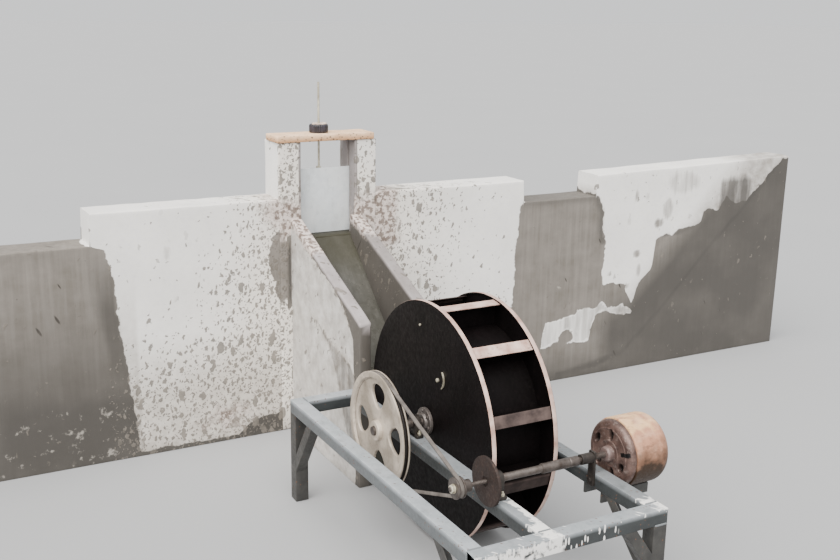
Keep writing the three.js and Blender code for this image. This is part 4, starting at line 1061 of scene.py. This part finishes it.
# parts that are fixed to each other are drawn this far apart
SEAT_GAP = 0.0003
wheel_centre = (0, wheel_y, wheel_z)
rim_inside = WHEEL_RADIUS - RIM_THICK
bitumen = wet_bitumen()
for word, face, sign in (("left", wheel_left, 1), ("right", wheel_right, -1)):
    radii = np.concatenate([np.linspace(AXLE_RADIUS + SEAT_GAP, WHEEL_RADIUS - 0.02, 30), [WHEEL_RADIUS - 0.01]])
    back, lip = face + sign * DISC_THICK, face + sign * RIM_WIDTH
    profile = [(face, r) for r in radii]
    profile += [
        (face + sign * 0.0006, WHEEL_RADIUS - 0.0008), (face + sign * 0.0018, WHEEL_RADIUS),
        (face + sign * (RIM_WIDTH - 0.0006), WHEEL_RADIUS), (lip, WHEEL_RADIUS - 0.0006),
        (lip, rim_inside), (back, rim_inside),
    ]
    profile += [(back, r) for r in radii[:-1][::-1]]
    points, faces = turned(profile, wheel_centre, 192, loop=True)
    x, y, z = points.T
    out = np.hypot(y - wheel_y, z - wheel_z)
    buckle = DISC_BUCKLE * wobble(y, z, 0.3, 61 + sign) * ramp(WHEEL_RADIUS - out, 0, 0.05)
    buckle *= ramp(out - 0.06, 0, 0.03)
    worn = np.where(out > WHEEL_RADIUS - 0.0003, 0.95, 0.05)
    points = np.stack([x + buckle, y, z], -1)
    piece(f"wheel_{word}_plate", [(points, faces)], bitumen, "water_wheel",
          [f"wheel_{word}_disc"], {"worn": worn})

drum_low, drum_high = wheel_left + DISC_THICK + SEAT_GAP, wheel_right - DISC_THICK - SEAT_GAP
drum = turned([
    (w, DRUM_RADIUS - 0.004) for w in np.linspace(drum_high, drum_low, 14)
] + [(w, DRUM_RADIUS) for w in np.linspace(drum_low, drum_high, 14)], wheel_centre, 144, loop=True)
blade_out = rim_inside - 0.001
shapes, worn, dust = [drum], [np.full(len(drum[0]), 0.05)], [np.zeros(len(drum[0]))]
for i in range(BLADE_COUNT):
    angle = FIRST_BLADE - i * 2 * math.pi / BLADE_COUNT
    corners = [
        (DRUM_RADIUS - 0.002, 0), (blade_out, 0), (blade_out - BLADE_SLANT, -BLADE_LIP),
        (blade_out - BLADE_SLANT - BLADE_THICK, -BLADE_LIP), (blade_out - BLADE_THICK, -BLADE_THICK),
        (DRUM_RADIUS - 0.002, -BLADE_THICK),
    ]
    radial, across = outline(corners, [0.0005, 0.003, 0.0008, 0.0008, 0.002, 0.0005], 0.008).T
    y = wheel_y - radial * math.cos(angle) + across * math.sin(angle)
    z = wheel_z + radial * math.sin(angle) + across * math.cos(angle)
    w = steps(drum_low, drum_high, 0.02)
    shapes.append(loft(placed("yzx", y, z, w[:, None])))
    at_lip = radial > blade_out - 0.006
    worn.append(np.tile(np.where(at_lip, BLADE_WEAR[i % len(BLADE_WEAR)], 0.1), len(w)))
    dust.append(np.tile(np.where(at_lip, BLADE_DUST[i % len(BLADE_DUST)], 0.0), len(w)))
piece("drum_with_blades", shapes, bitumen, "water_wheel", ["bladed_drum"],
      {"worn": np.concatenate(worn), "dust": np.concatenate(dust)})


def turned_steel(name, pale, deep):
    """Bright turned steel gone grey: fine lathe marks, drip stains and brown bloom."""
    material, tree, place = begin(name)
    tone = mottled(tree, place, pale, deep, 0.012, 0.35, 0.7)
    tone = mottled(tree, place, tone, "#54402F", 0.006, 0.55, 0.8, 0.4)
    marks = add(tree, "TexNoise", {
        "Vector": add(tree, "Mapping", {"Vector": place, "Scale": (12, 1, 1)}), "Scale": 150, "Detail": 3,
    })
    return finish_with(material, tree, marks, 0.0003, {
        "Base Color": tone, "Metallic": 0.6, "Roughness": add(tree, "MapRange", [marks, 0.3, 0.7, 0.32, 0.5]),
    })


HUB_RADIUS = 0.039
HUB_THICK = 0.010
HUB_BOSS_RADIUS = 0.022
HUB_BOSS = 0.008
HUB_BOLTS = 6
HUB_BOLT_RING = 0.031
turned_grey = turned_steel("turned_steel", "#645D59", "#3C3531")
hub_grey = turned_steel("turned_hub_steel", "#77716E", "#57504D")
axle_low, axle_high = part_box("wheel_axle")
left_hub, right_hub = wheel_left - SEAT_GAP, wheel_right + SEAT_GAP
axle = soft_profile([
    (axle_low.x, 0), (axle_low.x, AXLE_RADIUS), (axle_high.x, AXLE_RADIUS), (axle_high.x, 0),
], 0.001)
piece("axle_bar", [turned(axle, wheel_centre, 72)], turned_grey, "water_wheel", ["wheel_axle"])
flange = soft_profile([
    (0, AXLE_RADIUS + 0.0001), (0, HUB_RADIUS), (HUB_THICK, HUB_RADIUS), (HUB_THICK, HUB_BOSS_RADIUS + 0.002),
    (HUB_THICK + HUB_BOSS, HUB_BOSS_RADIUS), (HUB_THICK + HUB_BOSS, AXLE_RADIUS + 0.0001),
], 0.0015, loop=True)
flanges = [
    turned([(hub + sign * w, r) for w, r in flange], wheel_centre, 72, loop=True)
    for hub, sign in ((left_hub, -1), (right_hub, 1))
]
heads = []
for i in range(HUB_BOLTS):
    angle = math.radians(20 + i * 60)
    y = wheel_y + HUB_BOLT_RING * math.cos(angle)
    z = wheel_z + HUB_BOLT_RING * math.sin(angle)
    heads.append(hexagon(y, z, left_hub - HUB_THICK - 0.004, left_hub - HUB_THICK + 0.001, 0.009, "yzx"))
    heads.append(hexagon(y, z, right_hub + HUB_THICK - 0.001, right_hub + HUB_THICK + 0.004, 0.009, "yzx"))
piece("hub_flanges", flanges, hub_grey, "water_wheel")
piece("hub_bolts", heads, hub_grey, "water_wheel")
# two screws through the left disc, at y and z, one of them with a bent lug
LUG_RADIUS = 0.030
LUG_CENTRE = (-0.250, 0.500)
screws = [
    hexagon(y, z, left_hub - length, left_hub + 0.001, across, "yzx")
    for y, z, length, across in ((-0.246, 0.494, 0.005, 0.010), (-0.142, 0.623, 0.004, 0.006))
]
a = np.linspace(-0.9, 0.9, 14)
ring = np.array([(-0.002, -0.0015), (0.002, -0.0015), (0.002, 0.0015), (-0.002, 0.0015)])
lug_out = LUG_RADIUS + ring[:, 1]
screws.append(loft(placed(
    "yzx", LUG_CENTRE[0] - lug_out * np.cos(a)[:, None], LUG_CENTRE[1] + lug_out * np.sin(a)[:, None],
    left_hub - 0.002 + ring[:, 0])))
piece("disc_screws", screws, rod_steel, "water_wheel")


# Bearings: three cast pillow blocks bolted on the rails, each with two bolts through its foot
def cast_housing():
    """Sand-cast grey iron under thin worn paint: grainy and darker in random patches. Its
    near-black tones are painted shade, for bearings that sit in the shade of the wheel and flywheel.
    """
    material, tree, place = begin("sand_cast_housing")
    # near-black tones: painted shade
    tone = mottled(tree, place, "#38332F", "#211D1B", 0.012, 0.35, 0.65)
    sand = add(tree, "TexNoise", {"Vector": place, "Scale": 300, "Detail": 4})
    return finish_with(material, tree, sand, 0.0008, {
        "Base Color": tone, "Metallic": 0.3, "Roughness": add(tree, "MapRange", [sand, 0.3, 0.7, 0.35, 0.6]),
    })


BEARING_FOOT = 0.010
BEARING_LENGTH = 0.068
BEARING_BOLT = 0.0275
# a shaft turns in its bore with this gap all round
RUNNING_GAP = 0.00005
shaft_y, shaft_z = -0.609, rail_top + 0.043
housing_iron = cast_housing()
bolts = []
for node, y, z, radius in (
    ("wheel_left_bearing", wheel_y, wheel_z, AXLE_RADIUS),
    ("wheel_right_bearing", wheel_y, wheel_z, AXLE_RADIUS),
    ("shaft_left_bearing", shaft_y, shaft_z, 0.010),
):
    low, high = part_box(node)
    housing = high.z - z
    a = np.linspace(-0.2, np.pi + 0.2, 25)
    half = BEARING_LENGTH / 2
    stand = 0.85 * housing
    corners = [(y + housing * math.cos(v), z + housing * math.sin(v)) for v in a]
    corners += [(y - stand, rail_top + 0.002), (y + stand, rail_top + 0.002)]
    section = outline(corners, 0.0012, 0.004)
    body = pierced(section, (y, z), radius + RUNNING_GAP, low.x, high.x, "yzx", soft=0.0025)
    head = rail_top + BEARING_FOOT
    foot = prism(rectangle(low.x, high.x, y - half, y + half), rail_top, head, radius=0.004, edge=0.002)
    piece(f"{node}_casting", [body, foot], housing_iron, "root", [node])
    middle = (low.x + high.x) / 2
    for side in (-1, 1):
        bolt_y = y + side * BEARING_BOLT
        bolts.append(hexagon(middle, bolt_y, head - 0.001, head + 0.006, 0.010))
        bolts.append(turned([(head + 0.004, 0.0), (head + 0.004, 0.003), (head + 0.011, 0.003), (head + 0.0115, 0.002),
                             (head + 0.0115, 0.0)], (middle, bolt_y, 0), 24, "z"))
piece("bearing_bolts", bolts, rod_steel, "root")


# Belt drive: a cast pulley with four kidney windows on the axle, a small turned one on the
# countershaft and one V belt of rubber and canvas round both
def cast_pulley_iron():
    """Machined and painted grey iron: a worn cream-grey with brown stains and a dull shine.
    An attribute darkens the groove to near black and paints a shadow in the corner where the
    web meets the rim."""
    material, tree, place = begin("cast_pulley_iron")
    tone = mottled(tree, place, "#BAAFA1", "#8A8073", 0.045, 0.38, 0.62)
    tone = mottled(tree, place, tone, "#5E4F45", 0.008, 0.54, 0.78, 0.6)
    # near black in the groove, and a painted shadow in the web's corner
    dark_groove_and_rim_shadow = add(tree, "Attribute", output="Fac", attribute_name="dark_groove_and_rim_shadow")
    tone = add(tree, "MixRGB", [dark_groove_and_rim_shadow, tone, "#1F1A17"])
    sand = add(tree, "TexNoise", {"Vector": place, "Scale": 260, "Detail": 4})
    return finish_with(material, tree, sand, 0.0006, {
        "Base Color": tone, "Metallic": 0.2, "Roughness": add(tree, "MapRange", [sand, 0.3, 0.7, 0.34, 0.52]),
    })


PULLEY_RADIUS = 0.163
RIM_DEPTH = 0.020
GROOVE_DEPTH = 0.009
GROOVE_TOP = 0.012
GROOVE_BOTTOM = 0.008
WEB_THICK = 0.010
WEB_SHIFT = 0.0025
KIDNEY_IN = 0.060
KIDNEY_OUT = 0.130
KIDNEY_TURNS = [2, 92, 182, 272]
KIDNEY_SPAN = math.radians(20.5)
KIDNEY_FLARE = math.radians(2.5)
KIDNEY_BLUNT = 0.88
PULLEY_BOSS = 0.029
PULLEY_BOSS_LENGTH = 0.030
PULLEY_WIDTH = 0.021
SMALL_RADIUS = 0.027
SMALL_HUB = 0.016
SMALL_HUB_LENGTH = 0.022
THIN_SHAFT = 0.006
pulley_low, pulley_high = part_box("big_pulley")
pulley_x = (pulley_low.x + pulley_high.x) / 2
shaft_centre = (0, shaft_y, shaft_z)
web_out = PULLEY_RADIUS - RIM_DEPTH
pulley_iron = cast_pulley_iron()


def groove(radius):
    """Corners of a grooved rim's outer side, from its left edge to its right one."""
    return [
        (-PULLEY_WIDTH / 2, radius), (-GROOVE_TOP / 2, radius), (-GROOVE_BOTTOM / 2, radius - GROOVE_DEPTH),
        (GROOVE_BOTTOM / 2, radius - GROOVE_DEPTH), (GROOVE_TOP / 2, radius), (PULLEY_WIDTH / 2, radius),
    ]


def shifted(profile, x):
    """The profile moved by x along its axis."""
    return [(w + x, r) for w, r in profile]


def kidney_web():
    """Web disc with four kidney windows, one closed surface. A window's outline is r = middle
    + half cos(a)^k and angle = (span + flare cos(a)^k) sin(a)^k, signs kept. Each quarter is
    a set of bands between that outline and the quarter's own. A band starts on the front at the
    window, runs out to the rim or the boss, over to the back and in again. Where two quarters
    meet there is no wall, so that their edges join."""
    inner, outer = PULLEY_BOSS - 0.004, web_out + 0.003
    quarter = np.pi / 4
    run = np.concatenate([
        np.stack([np.linspace(inner, outer, 20)[:-1], np.full(19, -quarter)], -1),
        np.stack([np.full(40, outer), np.linspace(-quarter, quarter, 41)[:-1]], -1),
        np.stack([np.linspace(outer, inner, 20)[:-1], np.full(19, quarter)], -1),
        np.stack([np.full(18, inner), np.linspace(quarter, -quarter, 19)[:-1]], -1),
    ])
    border = np.stack([run[:, 0] * np.cos(run[:, 1]), run[:, 0] * np.sin(run[:, 1])], -1)
    count = len(run)
    a = np.linspace(0, 2 * np.pi, 240, endpoint=False)
    across = np.sign(np.cos(a)) * np.abs(np.cos(a)) ** KIDNEY_BLUNT
    sideways = np.sign(np.sin(a)) * np.abs(np.sin(a)) ** KIDNEY_BLUNT
    middle = (KIDNEY_IN + KIDNEY_OUT) / 2
    r = middle + (KIDNEY_OUT - KIDNEY_IN) / 2 * across
    spread = (KIDNEY_SPAN + KIDNEY_FLARE * across) * sideways
    window = np.stack([r * np.cos(spread), r * np.sin(spread)], -1)
    centre = np.array((middle, 0.0))
    toward = np.unwrap(np.arctan2(*(window - centre).T[::-1]))
    order = np.argsort(toward % (2 * np.pi))
    turn_to = np.arctan2(border[:, 1] - centre[1], border[:, 0] - centre[0]) % (2 * np.pi)
    sorted_turn = toward[order] % (2 * np.pi)
    hole = np.stack([
        np.interp(turn_to, sorted_turn, window[order, k], period=2 * np.pi) for k in (0, 1)
    ], -1)
    share = np.concatenate([[0, 0.02, 0.06], np.linspace(0.15, 1, 8)])
    half = np.concatenate([[0.6, 0.85, 1.0], np.ones(8)]) * WEB_THICK / 2
    flat = hole[:, None] + share[None, :, None] * (border - hole)[:, None]
    front, back = (placed("yzx", flat[..., 0], flat[..., 1], w) for w in (-half, half))
    rings = np.concatenate([front, back[:, ::-1]], 1)
    points, faces = loft(rings, loop=True)
    around = rings.shape[1]
    on_cut = np.abs(np.abs(run[:, 1]) - quarter) < 1e-6
    wall = len(share) - 1
    kept = [
        face for number, face in enumerate(faces)
        if not (number % around == wall and on_cut[number // around] and on_cut[(number // around + 1) % count])
    ]
    shapes = []
    for turned_by in KIDNEY_TURNS:
        angle = math.radians(180 - turned_by)
        y = wheel_y + points[:, 1] * math.cos(angle) - points[:, 2] * math.sin(angle)
        z = wheel_z + points[:, 1] * math.sin(angle) + points[:, 2] * math.cos(angle)
        shapes.append((np.stack([pulley_x + WEB_SHIFT + points[:, 0], y, z], -1), kept))
    return shapes


rim = soft_profile(shifted(
    [(-PULLEY_WIDTH / 2, web_out + 0.004)] + groove(PULLEY_RADIUS)
    + [(PULLEY_WIDTH / 2, web_out + 0.004), (0.008, web_out), (-0.003, web_out)], pulley_x), 0.0012, loop=True)
boss = soft_profile(shifted([
    (-PULLEY_BOSS_LENGTH / 2, AXLE_RADIUS + SEAT_GAP), (-PULLEY_BOSS_LENGTH / 2, PULLEY_BOSS - 0.002),
    (0, PULLEY_BOSS), (PULLEY_BOSS_LENGTH / 2, PULLEY_BOSS - 0.002), (PULLEY_BOSS_LENGTH / 2, AXLE_RADIUS + SEAT_GAP),
], pulley_x), 0.002, loop=True)
shapes = [turned(rim, wheel_centre, 160, loop=True), turned(boss, wheel_centre, 72, loop=True)]
shapes += kidney_web()
points = np.concatenate([shape[0] for shape in shapes])
out = np.hypot(points[:, 1] - wheel_y, points[:, 2] - wheel_z)
# the corner where the web meets the rim gets a painted shadow line
corner = (out > web_out - 0.001) & (out < web_out + 0.005) & (points[:, 0] > pulley_x - 0.004)
in_groove = (out > PULLEY_RADIUS - GROOVE_DEPTH - 0.001) & (out < PULLEY_RADIUS - 0.0008)
in_groove &= np.abs(points[:, 0] - pulley_x) < GROOVE_TOP / 2
piece("kidney_pulley", shapes, pulley_iron, "water_wheel", ["big_pulley"],
      {"dark_groove_and_rim_shadow": np.maximum(in_groove, 0.55 * corner)})

small = soft_profile(shifted(
    [(-PULLEY_WIDTH / 2, THIN_SHAFT + SEAT_GAP)] + groove(SMALL_RADIUS)
    + [(PULLEY_WIDTH / 2, SMALL_HUB), (PULLEY_WIDTH / 2 + SMALL_HUB_LENGTH, SMALL_HUB),
       (PULLEY_WIDTH / 2 + SMALL_HUB_LENGTH, THIN_SHAFT + SEAT_GAP)], pulley_x), 0.0008, loop=True)
piece("turned_pulley", [turned(small, shaft_centre, 96, loop=True)], turned_grey,
      "countershaft", ["small_pulley"])


def belt_path():
    """Points of the belt's inner side round both pulleys, about 5 mm apart, and the outward
    normals: two arcs whose ends lie at the tangent lean acos((R - r) / distance)."""
    big = PULLEY_RADIUS - GROOVE_DEPTH + SEAT_GAP
    little = SMALL_RADIUS - GROOVE_DEPTH + SEAT_GAP
    reach = math.hypot(shaft_y - wheel_y, shaft_z - wheel_z)
    line = math.atan2(shaft_z - wheel_z, shaft_y - wheel_y)
    lean = math.acos((big - little) / reach)
    a = np.linspace(line + lean, line + 2 * np.pi - lean, 120)
    b = np.linspace(line - lean, line + lean, 30)
    points = np.concatenate([
        np.stack([wheel_y + big * np.cos(a), wheel_z + big * np.sin(a)], -1),
        np.stack([shaft_y + little * np.cos(b), shaft_z + little * np.sin(b)], -1),
    ])
    both = np.concatenate([a, b])
    normals = np.stack([np.cos(both), np.sin(both)], -1)
    runs = []
    for i in (len(a) - 1, len(points) - 1):
        t = steps(0, 1, 0.02)[1:-1, None]
        after = (i + 1) % len(points)
        runs.append((points[i] + t * (points[after] - points[i]), np.broadcast_to(normals[i], (len(t), 2))))
    path = np.concatenate([points[:len(a)], runs[0][0], points[len(a):], runs[1][0]])
    normal = np.concatenate([normals[:len(a)], runs[0][1], normals[len(a):], runs[1][1]])
    return path, normal


# the belt's section, 10 mm over 6.5 mm and 7 mm high, has a raised ply line on each flank
path, normal = belt_path()
section = outline(
    [(-0.00325, 0), (0.00325, 0), (0.0048, 0.006), (0.005, 0.007), (-0.005, 0.007), (-0.0048, 0.006)], 0.0005, 0.004)
belt_rings = np.concatenate([
    np.broadcast_to(pulley_x + section[None, :, :1], (len(path), len(section), 1)),
    path[:, None] + section[None, :, 1:] * normal[:, None],
], -1)
belt_material, tree, place = begin("rubber_canvas_belt")
# rubberised canvas, worn pale and dusty: a fine weave of 1 mm and cracks across the belt
weave = add(tree, "TexWave", {"Vector": place, "Scale": 160, "Distortion": 1.5})
finish_with(belt_material, tree, weave, 0.0003, {
    "Base Color": mottled(tree, place, "#706A65", "#4A4541", 0.015, 0.35, 0.7), "Roughness": 0.7,
})
piece("v_belt", [loft(belt_rings, loop=True)], belt_material, "root", ["belt"])


# Countershaft: a steel pipe with a thin end for the pulley and a sleeve, the generator's own
# shaft beyond it and a rusty disc of plate as a flywheel
def brown_rust():
    """Steel plate with an even skin of brown rust: matt, with darker scale in patches."""
    material, tree, place = begin("brown_rusted_plate")
    tone = mottled(tree, place, "#2C1F1A", "#1F1613", 0.03, 0.35, 0.7)
    tone = mottled(tree, place, tone, "#5A463D", 0.005, 0.54, 0.78, 0.45)
    scale = add(tree, "TexNoise", {"Vector": place, "Scale": 150, "Detail": 6})
    return finish_with(material, tree, scale, 0.0008, {
        "Base Color": tone, "Metallic": 0.15, "Roughness": add(tree, "MapRange", [scale, 0.3, 0.7, 0.5, 0.75]),
    })


PIPE = 0.010
SLEEVE = 0.013
GENERATOR_SHAFT = 0.008
FLYWHEEL = 0.063
fly_low, fly_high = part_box("flywheel_disc")
shaft_low, shaft_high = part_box("countershaft")
sleeve_left, sleeve_right = -0.013, 0.098
shaft = soft_profile([
    (shaft_low.x, 0), (shaft_low.x, THIN_SHAFT), (fly_high.x + SEAT_GAP, THIN_SHAFT), (fly_high.x + SEAT_GAP, PIPE),
    (sleeve_left, PIPE), (sleeve_left, SLEEVE), (sleeve_right - 0.03, SLEEVE), (sleeve_right - 0.029, SLEEVE - 0.001),
    (sleeve_right - 0.027, SLEEVE - 0.001), (sleeve_right - 0.026, SLEEVE), (sleeve_right, SLEEVE),
    (sleeve_right, GENERATOR_SHAFT), (shaft_high.x, GENERATOR_SHAFT), (shaft_high.x, 0),
], 0.0008)
piece("pipe_shaft", [turned(shaft, shaft_centre, 64)], turned_grey, "countershaft", ["countershaft"])
disc = soft_profile([
    (fly_low.x + 0.003, THIN_SHAFT + SEAT_GAP), (fly_low.x + 0.003, 0.013), (fly_low.x, 0.013), (fly_low.x, FLYWHEEL),
    (fly_high.x, FLYWHEEL), (fly_high.x, THIN_SHAFT + SEAT_GAP),
], 0.0012, loop=True)
piece("rusted_flywheel", [turned(disc, shaft_centre, 128, loop=True)], brown_rust(), "countershaft",
      ["flywheel_disc"])
# a nut on a washer holds the small pulley on the shaft's end
pulley_end = pulley_x - PULLEY_WIDTH / 2
washer_end = pulley_end - 0.0025
end_nut = [
    hexagon(shaft_y, shaft_z, pulley_end - 0.0095, washer_end, 0.019, "yzx"),
    turned(soft_profile([
        (washer_end, THIN_SHAFT + 0.0002), (washer_end, 0.012),
        (pulley_end - SEAT_GAP, 0.012), (pulley_end - SEAT_GAP, THIN_SHAFT + 0.0002),
    ], 0.0003, loop=True), shaft_centre, 48, loop=True),
]
piece("pulley_end_nut", end_nut, rod_steel, "countershaft")

upright_low, upright_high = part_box("bearing_upright")
UPRIGHT_HALF = 0.0125
UPRIGHT_BOSS = 0.014
bar_x = upright_high.x - 0.006
bore = GENERATOR_SHAFT + RUNNING_GAP
section = outline(
    rectangle(shaft_y - UPRIGHT_HALF, shaft_y + UPRIGHT_HALF, upright_low.z, upright_high.z), 0.003, 0.006)
bar = pierced(section, (shaft_y, shaft_z), bore, bar_x, upright_high.x, "yzx", soft=0.001)
boss = turned(soft_profile([
    (upright_low.x, bore), (upright_low.x, UPRIGHT_BOSS), (bar_x + 0.003, UPRIGHT_BOSS), (bar_x + 0.003, bore),
], 0.001, loop=True), shaft_centre, 64, loop=True)
bolt = hexagon(shaft_y, rail_top - 0.018, bar_x - 0.006, bar_x + 0.001, 0.013, "yzx")
piece("shaft_upright", [bar, boss, bolt], housing_iron, "root", ["bearing_upright"])


# Generator: a cast shield with vents, ribs and a nose for the bearing, on a drawn steel body
# in scuffed enamel. Two flat arms and a strip carry it.
def cast_shield():
    """Oily cast aluminium gone dark brown: grainy, with shiny worn spots. The attribute pit
    paints the vents near black, a painted shade for their dark insides, and worn paints the
    front boss paler, a painted highlight."""
    material, tree, place = begin("oily_cast_shield")
    pit, worn = (add(tree, "Attribute", output="Fac", attribute_name=name) for name in ("pit", "worn"))
    tone = mottled(tree, place, "#6E5952", "#3A2B27", 0.012, 0.35, 0.65)
    tone = mottled(tree, place, tone, "#A8968E", 0.006, 0.54, 0.76, 0.6)
    # a paler front boss is a painted highlight, near-black vents are painted shade
    tone = add(tree, "MixRGB", [worn, tone, "#7F706E"])
    tone = add(tree, "MixRGB", [pit, tone, "#0A0808"])
    sand = add(tree, "TexNoise", {"Vector": place, "Scale": 220, "Detail": 4})
    return finish_with(material, tree, sand, 0.0008, {
        "Base Color": tone, "Metallic": 0.35, "Roughness": add(tree, "MapRange", [sand, 0.3, 0.7, 0.28, 0.55]),
    })


def scuffed_enamel():
    """Cream enamel on drawn steel: beige on top, worn to pink primer below it, with scratches of
    1 mm. From about halfway down it is painted dark brown: painted shade on the underside."""
    material, tree, place = begin("scuffed_cream_enamel")
    height_at = add(tree, "SeparateXYZ", [place], "Z")
    ragged = add(tree, "TexNoise", {"Vector": place, "Scale": 30, "Detail": 6})
    ragged = add(tree, "MapRange", [ragged, 0.2, 0.8, -0.04, 0.04])
    level = add(tree, "Math", [height_at, ragged], operation="ADD")
    upper = add(tree, "MapRange", [level, 0.435, 0.455])
    tone = add(tree, "MixRGB", [upper, "#AE8067", mottled(tree, place, "#DCB589", "#C49D75", 0.03)])
    tone = mottled(tree, place, tone, "#D2AE94", 0.02, 0.5, 0.7, 0.6)
    tone = mottled(tree, place, tone, "#4B382F", 0.007, 0.54, 0.72, 0.6, stretch=(0.5, 1, 1))
    # painted shade: dark brown from about halfway down the body
    underside_shade = add(tree, "MapRange", [level, 0.42, 0.345])
    tone = add(tree, "MixRGB", [underside_shade, tone, "#35261A"])
    grit = add(tree, "TexNoise", {"Vector": place, "Scale": 180, "Detail": 4})
    return finish_with(material, tree, grit, 0.0005, {
        "Base Color": tone, "Roughness": add(tree, "MapRange", [grit, 0.3, 0.7, 0.4, 0.6]), "Specular IOR Level": 0.3,
    })


NOSE_RADIUS = 0.020
SHIELD_RADIUS = 0.088
SHIELD_EDGE = 0.014
SHIELD_DROP = 0.016
BODY_RADIUS = 0.092
CROWN_LENGTH = 0.034
CROWN_DROP = 0.040
ARM_OFFSET = 0.035
VENT_DEPTH = 0.012
SLOT_TURN = 16
# each vent's turn from the near side in degrees, its radius, and its half lengths outward and
# around, in metres
VENTS = (
    (87, 0.050, 0.016, 0.008), (153, 0.057, 0.008, 0.014), (215, 0.052, 0.012, 0.010),
    (285, 0.050, 0.014, 0.009), (335, 0.054, 0.010, 0.012),
)
shield_low, shield_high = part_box("generator_shield")
body_low, body_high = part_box("generator_body")
shield_x = shield_low.x + 0.016
t = np.linspace(0, np.pi / 2, 10)
face = [(shield_x + SHIELD_EDGE * (1 - math.cos(v)), SHIELD_RADIUS - SHIELD_DROP * (1 - math.sin(v))) for v in t]
flat = np.linspace(NOSE_RADIUS + 0.008, SHIELD_RADIUS - SHIELD_DROP - 0.001, 48)
ribs = 0.0022 * bell(flat, 0.034, 0.0022) + 0.0018 * bell(flat, 0.066, 0.002)
profile = np.concatenate([
    soft_profile([
        (shield_low.x, GENERATOR_SHAFT + 0.0001), (shield_low.x, NOSE_RADIUS - 0.004),
        (shield_low.x + 0.004, NOSE_RADIUS), (shield_x, NOSE_RADIUS + 0.002), (shield_x, NOSE_RADIUS + 0.006),
    ], 0.001),
    np.stack([shield_x - ribs, flat], -1),
    face,
    [(x, SHIELD_RADIUS) for x in np.linspace(shield_x + SHIELD_EDGE + 0.001, shield_high.x - 0.001, 5)],
    [(shield_high.x, SHIELD_RADIUS - 0.001), (shield_high.x, GENERATOR_SHAFT + 0.0001)],
])
points, faces = turned(profile, shaft_centre, 240, loop=True)
dy, dz = points[:, 1] - shaft_y, points[:, 2] - shaft_z
out, angle = np.hypot(dy, dz), np.degrees(np.arctan2(dz, -dy))
front = points[:, 0] < shield_x + 0.004
# the vents and the slot are drawn near black: painted shade for their dark insides
pits = np.zeros(len(points))
for middle, reach, half_out, half_around in VENTS:
    around = np.radians((angle - middle + 180) % 360 - 180) * reach
    inside = 1.15 - np.hypot(around / half_around, (out - reach) / half_out)
    pits = np.maximum(pits, ramp(inside, 0, 0.15) * front)
points = np.stack([points[:, 0] + pits * VENT_DEPTH, points[:, 1], points[:, 2]], -1)
off = np.radians(np.abs((angle - SLOT_TURN + 180) % 360 - 180)) * out
slot = (off < 0.0055) & (points[:, 0] < shield_x + 0.012) & (out > 0.048) & (out < 0.084)
# the nose is drawn paler: a painted highlight
nose_highlight = 0.45 * ramp(out - NOSE_RADIUS, 0.003, 0.001)
piece("vented_shield", [(points, faces)], cast_shield(), "root", ["generator_shield"],
      {"pit": np.maximum(pits, slot), "worn": nose_highlight}, crease=50)
t = np.linspace(0, np.pi / 2, 16)
body = [(body_low.x, 0), (body_low.x, BODY_RADIUS - 0.002), (body_low.x + 0.0008, BODY_RADIUS - 0.0005)]
body += [(x, BODY_RADIUS) for x in np.linspace(body_low.x + 0.002, body_high.x - CROWN_LENGTH, 30)]
body += [
    (body_high.x - CROWN_LENGTH * (1 - math.sin(v)), BODY_RADIUS - CROWN_DROP * (1 - math.cos(v))) for v in t[1:]]
body += [(body_high.x, 0)]
piece("drawn_body", [turned(body, shaft_centre, 180)], scuffed_enamel(), "root",
      ["generator_body"])
arm_low, arm_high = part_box("generator_bracket")
shapes = []
for side in (-1, 1):
    y = shaft_y + side * ARM_OFFSET
    shapes.append(prism([
        (arm_low.x, arm_low.z), (arm_high.x, arm_low.z), (arm_high.x, 0.276), (0.194, 0.276),
        (0.193, arm_high.z), (arm_low.x, arm_high.z),
    ], y - 0.003, y + 0.003, "xzy", radius=0.001, edge=CUT_EDGE))
shapes.append(prism(rectangle(shield_x + 0.004, arm_high.x, shaft_y - 0.0345, shaft_y + 0.0345),
                    arm_low.z, arm_low.z + 0.0058, radius=0.001, edge=CUT_EDGE))
piece("generator_arms", shapes, zinc, "root", ["generator_bracket"], {"shade": 1.5})
